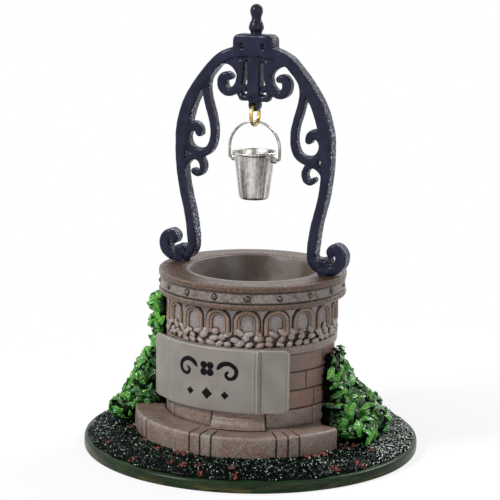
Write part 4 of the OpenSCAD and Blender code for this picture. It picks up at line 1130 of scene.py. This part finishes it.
def makeBowl(look):
    r1, foot, top = look["bore"], look["bowlFoot"], look["bowlTop"]
    edge, floorTop = look["bowlFloor"]
    loop = roundedLoop([(0, foot, 0), (r1 - 0.05, foot, 0), (r1 - 0.05, top, 0.25),
                        (look["mouth"], top, 0.3),
                        (edge, floorTop, 0.8), (0, floorTop, 0)], 5)

    def shape(angle, r, z):
        push = waved(angle, r, z, "bowl") * (26 < z < 39.4)
        seam = 0.8 * exp(-((r1 - r) / 0.3) ** 2) * (z > 39)
        # painted light and shade: the tone makes the bowl paler at the left and darker at the back, and the
        # paint darkens towards its floor and along the line where it meets the coping
        # the photograph shows the bowl pale at the left and dark at the back
        shade = sum(amount * cos(radians(angle + turn)) for turn, amount in look["bowlLight"])
        return (r + push, z, max(seam, 0.25 * max(0, (28 - z) / 3)), shade)
    settle(makeObject("bowl_inside", lathe("bowl", finer(loop, 0.8), 240, shape), bowlStone), "well",
           ["bowl"])


makeFoundation(stoneLook)
makeStep(stoneLook)
makeCove(stoneLook)
makeBricks(stoneLook)
stoneRing("plain_ledge", "ledge", greyStone)
makePebbles(stoneLook, pebbleLook)
makeArcade(stoneLook, archLook)
stoneRing("round_moulding", "moulding", brownStone)
stoneRing("studded_band", "stud_band", bandStone)
makeStuds(studLook)
stoneRing("coping_ring", "coping", brownStone)
makeBowl(stoneLook)
print("stonework made")


# the plaque: a curved panel with two ears, and a flourish painted on it
plaqueLook = {"turn": -5, "low": 12.14, "high": 25.98, "front": 20.0, "curve": 27, "half": 11.3,
              "ear": 4.9, "ledge": (24.2, 18.9), "step": 0.11, "rows": 90, "beadEnd": 0.5,
              "setBack": 0.45, "edge": 0.3, "earRound": 1.1, "earThick": 1.6, "back": 18.45,
              "ridges": ((10.95, 0.2), (10.2, 0.16), (-10.9, 0.11))}


def plaqueFront(y, look):
    return look["front"] - look["curve"] + sqrt(look["curve"] ** 2 - y * y)


def slab(name, look, y0, y1, setBack, corner, thick, beads=()):
    # a curved slab: a grid over its face, pulled in round the edge, and a flat back
    cols, rows = max(24, int((y1 - y0) / look["step"])), look["rows"]
    z0, z1 = look["low"], look["high"]
    turn = radians(look["turn"])
    points, faces = [], []

    def spot(y, z, x):
        return (x * sin(turn) + y * cos(turn), -x * cos(turn) + y * sin(turn), z)
    face = []
    for i in range(rows + 1):
        for k in range(cols + 1):
            y, z = y0 + (y1 - y0) * k / cols, z0 + (z1 - z0) * i / rows
            for side, radius in corner.items():
                cy = y1 - radius if side > 0 else y0 + radius
                for cz, up in ((z1 - radius, 1), (z0 + radius, -1)):
                    if (y - cy) * side > 0 and (z - cz) * up > 0:
                        u, v = (y - cy) * side / radius, (z - cz) * up / radius
                        scale = max(u, v) / max(1e-6, hypot(u, v))
                        y, z = cy + side * u * scale * radius, cz + up * v * scale * radius
            face.append((y, z, min(i, rows - i) * (z1 - z0) / rows, min(k, cols - k) * (y1 - y0) / cols))
    for y, z, dz, dy in face:
        pull = 0
        for near in (dz, dy):
            if near < look["edge"]:
                pull += look["edge"] - sqrt(max(0, look["edge"] ** 2 - (look["edge"] - near) ** 2))
        x = plaqueFront(y, look) - setBack - min(pull, look["edge"] * 1.2)
        for place, wide in beads:
            x += wide * 1.1 * sqrt(max(0, 1 - ((y - place) / wide) ** 2)) * min(1, dz / look["beadEnd"])
        x += 0.03 * grain(y, 0, z, 3, 4)
        points.append(spot(y, z, x))
    base = len(points)
    ledge, ledgeRadius = look["ledge"]
    for y, z, dz, dy in face:
        front = plaqueFront(y, look)
        behind = sqrt(max(0, (ledgeRadius if z > ledge else look["back"]) ** 2 - y * y))
        points.append(spot(y, z, min(max(behind, front - thick), front - setBack - 0.5)))
    wide = cols + 1
    for i in range(rows):
        for k in range(cols):
            a = i * wide + k
            faces.append((a, a + 1, a + wide + 1, a + wide))
            faces.append((base + a, base + a + 1, base + a + wide + 1, base + a + wide))
    rim = list(range(cols)) + [i * wide + cols for i in range(rows)]
    rim += [rows * wide + k for k in range(cols, 0, -1)] + [i * wide for i in range(rows, 0, -1)]
    for a, b in zip(rim, rim[1:] + rim[:1]):
        faces.append((a, b, base + b, base + a))
    return toMesh(name, points, faces)


def makePlaque(look):
    half, outer = look["half"], look["half"] + look["ear"]
    panel = slab("plaque face", look, -half + 0.02, half - 0.02, 0.0, {}, 4, look["ridges"])
    settle(makeObject("plaque_face", panel, plaqueStone), "well", ["plaque_panel"])
    for side, y0, y1, turned in (("right", half, outer, 1), ("left", -outer, -half, -1)):
        name = "plaque_ear_" + side
        ear = slab(name, look, y0, y1, look["setBack"], {turned: look["earRound"]}, look["earThick"])
        settle(makeObject(name, ear, plaqueStone), "well", [side + "_plaque_ear"])


makePlaque(plaqueLook)

# the scroll's points are (across, up, width); the lozenges' are (across, size)
flourishLook = {"scroll": [(2.4, 2.3, 0.9), (3.6, 3.5, 1.1), (5.2, 3.7, 1.0), (6.6, 2.6, 0.9),
                           (6.4, 1.0, 0.9),
                           (5.1, 0.5, 0.8), (4.4, 1.3, 0.7), (5.0, 2.1, 0.6)],
                "petal": 0.85, "petalAt": 1.05, "flowerAt": 2.2, "rowAt": -3.2,
                "sideLozenge": (4.2, 0.92),
                "midLozenge": (0, 1.34), "lift": 0.12, "middle": 6.95}


def makeFlourish(look, plaque):
    turn = radians(plaque["turn"])
    points, faces = [], []

    def spot(y, v, lift):
        x = plaqueFront(y, plaque) + lift
        z = plaque["low"] + look["middle"] + v
        return (x * sin(turn) + y * cos(turn), -x * cos(turn) + y * sin(turn), z)

    def dome(outline, middle):
        base, count = len(points), len(outline)
        u0, v0 = middle
        for share, lift in ((1, -0.02), (0.9, look["lift"] * 0.7), (0.55, look["lift"] * 0.95)):
            for u, v in outline:
                points.append(spot(u0 + (u - u0) * share, v0 + (v - v0) * share, lift))
        points.append(spot(u0, v0, look["lift"]))
        faces.extend(bandFaces(3, count, base))
        for k in range(count):
            faces.append((base + 2 * count + k, base + 2 * count + (k + 1) % count, len(points) - 1))
        faces.append(tuple(range(base, base + count)))

    def lozenge(across, size):
        up = look["rowAt"]
        dome([(across + size * cos(a), up + size * sin(a)) for a in turns(4)], (across, up))

    def stroke(keys, side):
        path = smoothPath(keys, 8)
        base = len(points)
        row = ((-1, -0.02), (-0.85, 0.7), (-0.4, 1), (0.4, 1), (0.85, 0.7), (1, -0.02))
        for i, (u, v, w) in enumerate(path):
            a, b = path[max(i - 1, 0)], path[min(i + 1, len(path) - 1)]
            along = Vector((b[0] - a[0], b[1] - a[1])).normalized()
            wide = w / 2 * min(1, 0.35 + i / 6, 0.35 + (len(path) - 1 - i) / 5)
            for part, lift in row:
                height = lift if lift < 0 else look["lift"] * lift
                points.append(spot(side * (u - along.y * wide * part), v + along.x * wide * part, height))
        faces.extend(bandFaces(len(path), len(row), base))
        faces.append(tuple(range(base, base + len(row))))
        faces.append(tuple(range(len(points) - len(row), len(points))))

    for side in (1, -1):
        stroke(look["scroll"], side)
        lozenge(side * look["sideLozenge"][0], look["sideLozenge"][1])
    for k in range(4):
        a = radians(45 + 90 * k)
        u, v = look["petalAt"] * cos(a), look["flowerAt"] + look["petalAt"] * sin(a)
        petal = [(u + look["petal"] * cos(t) * (1 + 0.1 * cos(t - a)),
                  v + look["petal"] * sin(t)) for t in turns(16)]
        dome(petal, (u, v))
    lozenge(*look["midLozenge"])
    mesh = toMesh("flourish", points, faces)
    settle(makeObject("painted_flourish", mesh, blackEnamel), "well", ["plaque_scrollwork"])


makeFlourish(flourishLook, plaqueLook)
print("plaque made")


# the hedges: a lumpy dark core with cast leaves over it; as painted shade, their paint darkens within "lit"
# of the wall, and the more so the higher up, over the last "fade" below shadeTop
hedgeLook = {"shadeTop": 20, "fade": 10, "voxel": 0.4, "shrink": 0.75, "lump": 2.6, "swell": 0.75,
             "spacing": 0.95, "smallest": 0.75, "largest": 1.7, "tilt": 0.6, "wall": 19.4,
             "wallFrom": 12, "foot": 5.1, "lit": 4.5, "holes": -0.16, "solid": 21}


def leafShape():
    # a cast leaf 2 mm long: broad, pointed and folded along its middle, with flat facets
    points, faces, ridge = [], [], []
    for x, half, drop in ((-0.6, 0.38, 0.0), (-0.05, 0.7, 0.05), (0.5, 0.45, 0.0)):
        points += [(x, -half, 0.08 + drop), (x, 0, 0.36 + drop), (x, half, 0.08 + drop), (x, 0, -0.22)]
        ridge += [0, 1, 0.4, 0]
    points += [(-1.0, 0, 0.0), (1.05, 0, -0.08)]
    ridge += [0, 1]
    for k in range(4):
        m = (k + 1) % 4
        for i in range(2):
            faces.append((i * 4 + k, i * 4 + m, (i + 1) * 4 + m, (i + 1) * 4 + k))
        faces.append((12, m, k))
        faces.append((13, 8 + k, 8 + m))
    mesh = toMesh("leaf", points, faces, ridge=ridge)
    mesh.polygons.foreach_set("use_smooth", [False] * len(mesh.polygons))
    return mesh


def nodesCopy(name, nodes, extras=()):
    # a merged copy of CAD meshes, with further meshes, at a scale of one unit to a millimetre
    work = bmesh.new()
    for source in [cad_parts[node].data for node in nodes] + list(extras):
        part = bmesh.new()
        part.from_mesh(source)
        bmesh.ops.remove_doubles(part, verts=part.verts, dist=2e-6)
        mesh = bpy.data.meshes.new("part")
        part.to_mesh(mesh)
        part.free()
        work.from_mesh(mesh)
        bpy.data.meshes.remove(mesh)
    bmesh.ops.scale(work, vec=(1 / mm, 1 / mm, 1 / mm), verts=work.verts)
    mesh = bpy.data.meshes.new(name)
    work.to_mesh(mesh)
    work.free()
    return makeObject(name, mesh)


def remeshed(piece, voxel, rounds):
    remesh = piece.modifiers.new("skin", "REMESH")
    remesh.mode = "VOXEL"
    remesh.voxel_size = voxel
    remesh.use_smooth_shade = True
    if rounds:
        soft = piece.modifiers.new("soften", "SMOOTH")
        soft.factor = 0.5
        soft.iterations = rounds
    return baked(piece)


def pushVertices(mesh, distance):
    # moves every vertex along its normal; all are read before any is written, which is fast
    places = [(v.co.copy(), v.normal.copy()) for v in mesh.vertices]
    flat = [value for place, normal in places for value in place + normal * distance(*place)]
    mesh.vertices.foreach_set("co", flat)
    mesh.update()


def makeHedge(node, name, look, seed):
    core = remeshed(nodesCopy(name + "_core", [node]), look["voxel"], 4)
    litCrests = []

    def growth(x, y, z):
        reach = hypot(x, y)
        near, _ = noise.voronoi(Vector((x + seed, y - seed, z)) / look["lump"])
        lump = min(1, (near[1] - near[0]) * 1.7) ** 0.6
        # painted shade: the leaves' paint darkens towards the wall
        wide = look["lit"] * min(1, max(0.22, (look["shadeTop"] - z) / look["fade"]))
        light = min(1, max(0, (reach - look["wall"]) / wide))
        litCrests.append(light * (0.6 + 0.6 * lump + 0.6 * grain(x, y, z, 4, seed)))
        push = look["swell"] * lump - look["shrink"] - 0.25 * grain(x, y, z, 0.9, seed)
        return push * (reach > look["wall"])
    pushVertices(core.data, growth)
    core.data.attributes.new("litCrest", "FLOAT", "POINT").data.foreach_set("value", litCrests)
    repaint(core, leafShade)

    def leafless(face, x, y, z):
        inward = face.normal.dot(Vector((x, y, 0)).normalized()) < -0.4
        behind = hypot(x, y) < look["wall"] and z > look["wallFrom"]
        hole = z < look["solid"] and grain(x, y, z, 2.0, seed + 5) < look["holes"]
        return z < look["foot"] or inward or behind or hole
    bed = makeObject(name + "_leaves", core.data.copy())
    cutAway(bed, leafless)
    item = makeObject("leaf", leafShape())
    leafFaces = len(item.data.polygons)
    runTree(bed, scatterTree(name + " leaves", leafGreen), {
        "Item": item, "Spacing": look["spacing"] * mm, "Smallest": look["smallest"],
        "Largest": look["largest"], "Tilt": look["tilt"], "Sink": -0.05 * mm, "Seed": seed})
    bpy.data.objects.remove(item)
    print(name, "leaves:", len(bed.data.polygons) // leafFaces)
    settle(core, "well", [node])
    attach(bed, "well")


makeHedge("left_hedge", "hedge_left", {**hedgeLook, "shadeTop": 27}, 3)
makeHedge("right_hedge", "hedge_right", hedgeLook, 7)
print("hedges made")


# the ironwork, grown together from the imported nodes, and the finial on top
ironLook = {"voxel": 0.19, "rounds": 22, "swell": 0.2, "eyes": (2.45, 88.2), "eyeRim": (0.92, 0.24),
            "blockFace": 2.0, "feet": (15.6, 18.7, 43.6), "crumple": 0.2, "stems": (0.8, 3.3, 76.6, 85),
            "stemSwell": 0.22}


def ringAcross(x, z, y, radius, wire, count=24, sides=8):
    # a bead round a hole that runs front to back
    points = []
    for t in turns(count):
        for a in turns(sides):
            r = radius + wire * cos(a)
            points.append((x + r * cos(t), y + wire * sin(a), z + r * sin(t)))
    return toMesh("bead", points, bandFaces(count, sides, closed=True))


def makeIronwork(look):
    parts = ("foot_block", "post", "foot_scroll", "inner_scroll", "curl", "crown_scroll", "volute")
    names = [side + part for side in ("left_", "right_") for part in parts]
    names += ["crown_block", "hanger_bar"]
    x, z = look["eyes"]
    beads = [ringAcross(side * x, z, face * look["blockFace"], *look["eyeRim"])
             for side in (-1, 1) for face in (-1, 1)]
    piece = remeshed(nodesCopy("iron_arch", names, beads), look["voxel"], look["rounds"])
    low, high, top = look["feet"]
    inner, outer, under, over = look["stems"]

    def growth(x, y, z):
        push = look["swell"] + 0.05 * grain(x, y, z, 1.6, 2)
        if inner < abs(x) < outer and under < z < over:
            push += look["stemSwell"]
        if z < top and low < abs(x) < high:
            push += look["crumple"] * (grain(x * 1.6, y, z * 0.6, 0.55, 5) - 0.2)
        return push
    pushVertices(piece.data, growth)
    markCurve(piece.data)
    repaint(piece, ironEnamel)
    settle(piece, "well", names)
    print("ironwork faces:", len(piece.data.polygons))


makeIronwork(ironLook)

finialLook = {"z": 90.5, "stem": (1.0, -0.6),
              "profile": [(1.5, -0.05), (1.25, 0.25), (1.28, 0.7), (1.6, 1.25), (1.62, 1.75), (1.42, 2.5),
                          (1.12, 3.1), (1.02, 3.5), (1.12, 4.0), (1.33, 4.6), (1.38, 5.2), (1.22, 5.85),
                          (0.8, 6.35), (0.3, 6.58), (0, 6.6)]}


def makeFinial(look):
    path = smoothPath(look["profile"], 4)
    stem, drop = look["stem"]
    loop = [(max(0, r), look["z"] + z) for r, z in [(0, drop), (stem, drop)] + path]
    settle(makeObject("finial_turned", lathe("finial", loop, 48), ironEnamel), "well", ["finial"])


makeFinial(finialLook)
print("ironwork made")


# the hanging gear: split ring, bail and bucket, each on a body of its own
gearLook = {"ringZ": 73.303, "ringRadius": 2.2, "wire": 0.4, "split": (-66, 290), "bailHalf": 5.9,
            "bailArc": 65.96, "ear": 63.71, "strip": (0.5, 0.9), "pin": 0.58, "pinIn": 4.4}


def makeRing(look):
    points = []
    stations, sides = 72, 14
    start, end = look["split"]
    for i in range(stations + 1):
        t = radians(start + (end - start) * i / stations)
        wire = look["wire"] * min(1, 0.75 + min(i, stations - i) * 0.25)
        for a in turns(sides):
            r = look["ringRadius"] + wire * cos(a)
            points.append((wire * sin(a), r * cos(t), look["ringZ"] + r * sin(t)))
    ends = [tuple(range(sides)), tuple(range(stations * sides, (stations + 1) * sides))]
    mesh = toMesh("ring", points, bandFaces(stations + 1, sides) + ends)
    settle(makeObject("split_ring", mesh, brassWire), "ring", ["jump_ring"])


def makeBail(look):
    # each key is across, up, thickness and width; one side, then the arc, then the other side
    half, ear, pin, pinIn, top = (look[k] for k in ("bailHalf", "ear", "pin", "pinIn", "bailArc"))
    thick, wide = look["strip"]
    right = [(pinIn, ear, pin, pin), (pinIn + 0.5, ear, pin, pin), (half - 0.42, ear, 0.52, 0.62),
             (half - 0.08, ear + 0.12, thick, 0.8), (half, ear + 0.5, thick, wide),
             (half, ear + 1.3, thick, wide), (half, top, thick, wide)]
    arc = [(half * cos(t), top + half * sin(t), thick, wide) for t in [pi * k / 24 for k in range(1, 24)]]
    keys = right + arc + [(-x, z, a, b) for x, z, a, b in reversed(right)]
    mesh = bar("bail", smoothPath(keys, 3), 16, 3.2, 0.3)
    settle(makeObject("bail_strip", mesh, bailSteel), "bail", ["bail"])


bucketLook = {"z": 55.01, "height": 10.4, "top": 4.58, "rim": 0.32, "wall": 0.38, "earHeight": 8.7,
              "outside": [(0, 0.12), (2.5, 0.1), (2.75, 0), (2.95, 0.02), (3.2, 0.22), (3.34, 0.6),
                          (3.5, 1.7), (3.93, 5.2), (4.27, 8.0), (4.5, 9.75)],
              "inside": [(3.88, 8.0), (3.54, 5.2), (3.05, 1.6), (2.9, 0.85), (2.6, 0.52), (0, 0.45)],
              "ear": [(0, 3.9), (0.75, 3.9), (0.75, 5.18), (0.63, 5.3), (0.36, 5.3), (0.34, 4.7), (0, 4.7)]}


def makeBucket(look):
    z, top, rim = look["z"], look["height"] - look["rim"], look["rim"]
    bends = [radians(-100 + 25 * k) for k in range(12)]
    bead = [(look["top"] + rim * cos(t), top + rim * sin(t)) for t in bends]
    profile = look["outside"] + bead + [(look["top"] - look["wall"], top - 0.1)] + look["inside"]

    def shape(angle, r, h):
        dent = 0.03 * handmade(angle, r, h, 1, 3, 20)
        return (max(0, r + dent * (r > 1)), h, 0, 0)
    parts = [makeObject("pail", lathe("pail", finer([(r, z + h) for r, h in profile], 0.6), 120, shape))]
    for side in (1, -1):
        points = [(side * x, r * cos(a), z + look["earHeight"] + r * sin(a))
                  for r, x in look["ear"] for a in turns(20)]
        parts.append(makeObject("ear", toMesh("ear", points, bandFaces(len(look["ear"]), 20))))
    settle(makeObject("tin_bucket", joined("tin bucket", parts), tinSheet), "bucket", ["bucket"])


makeRing(gearLook)
makeBail(gearLook)
makeBucket(bucketLook)
print("hanging gear made")
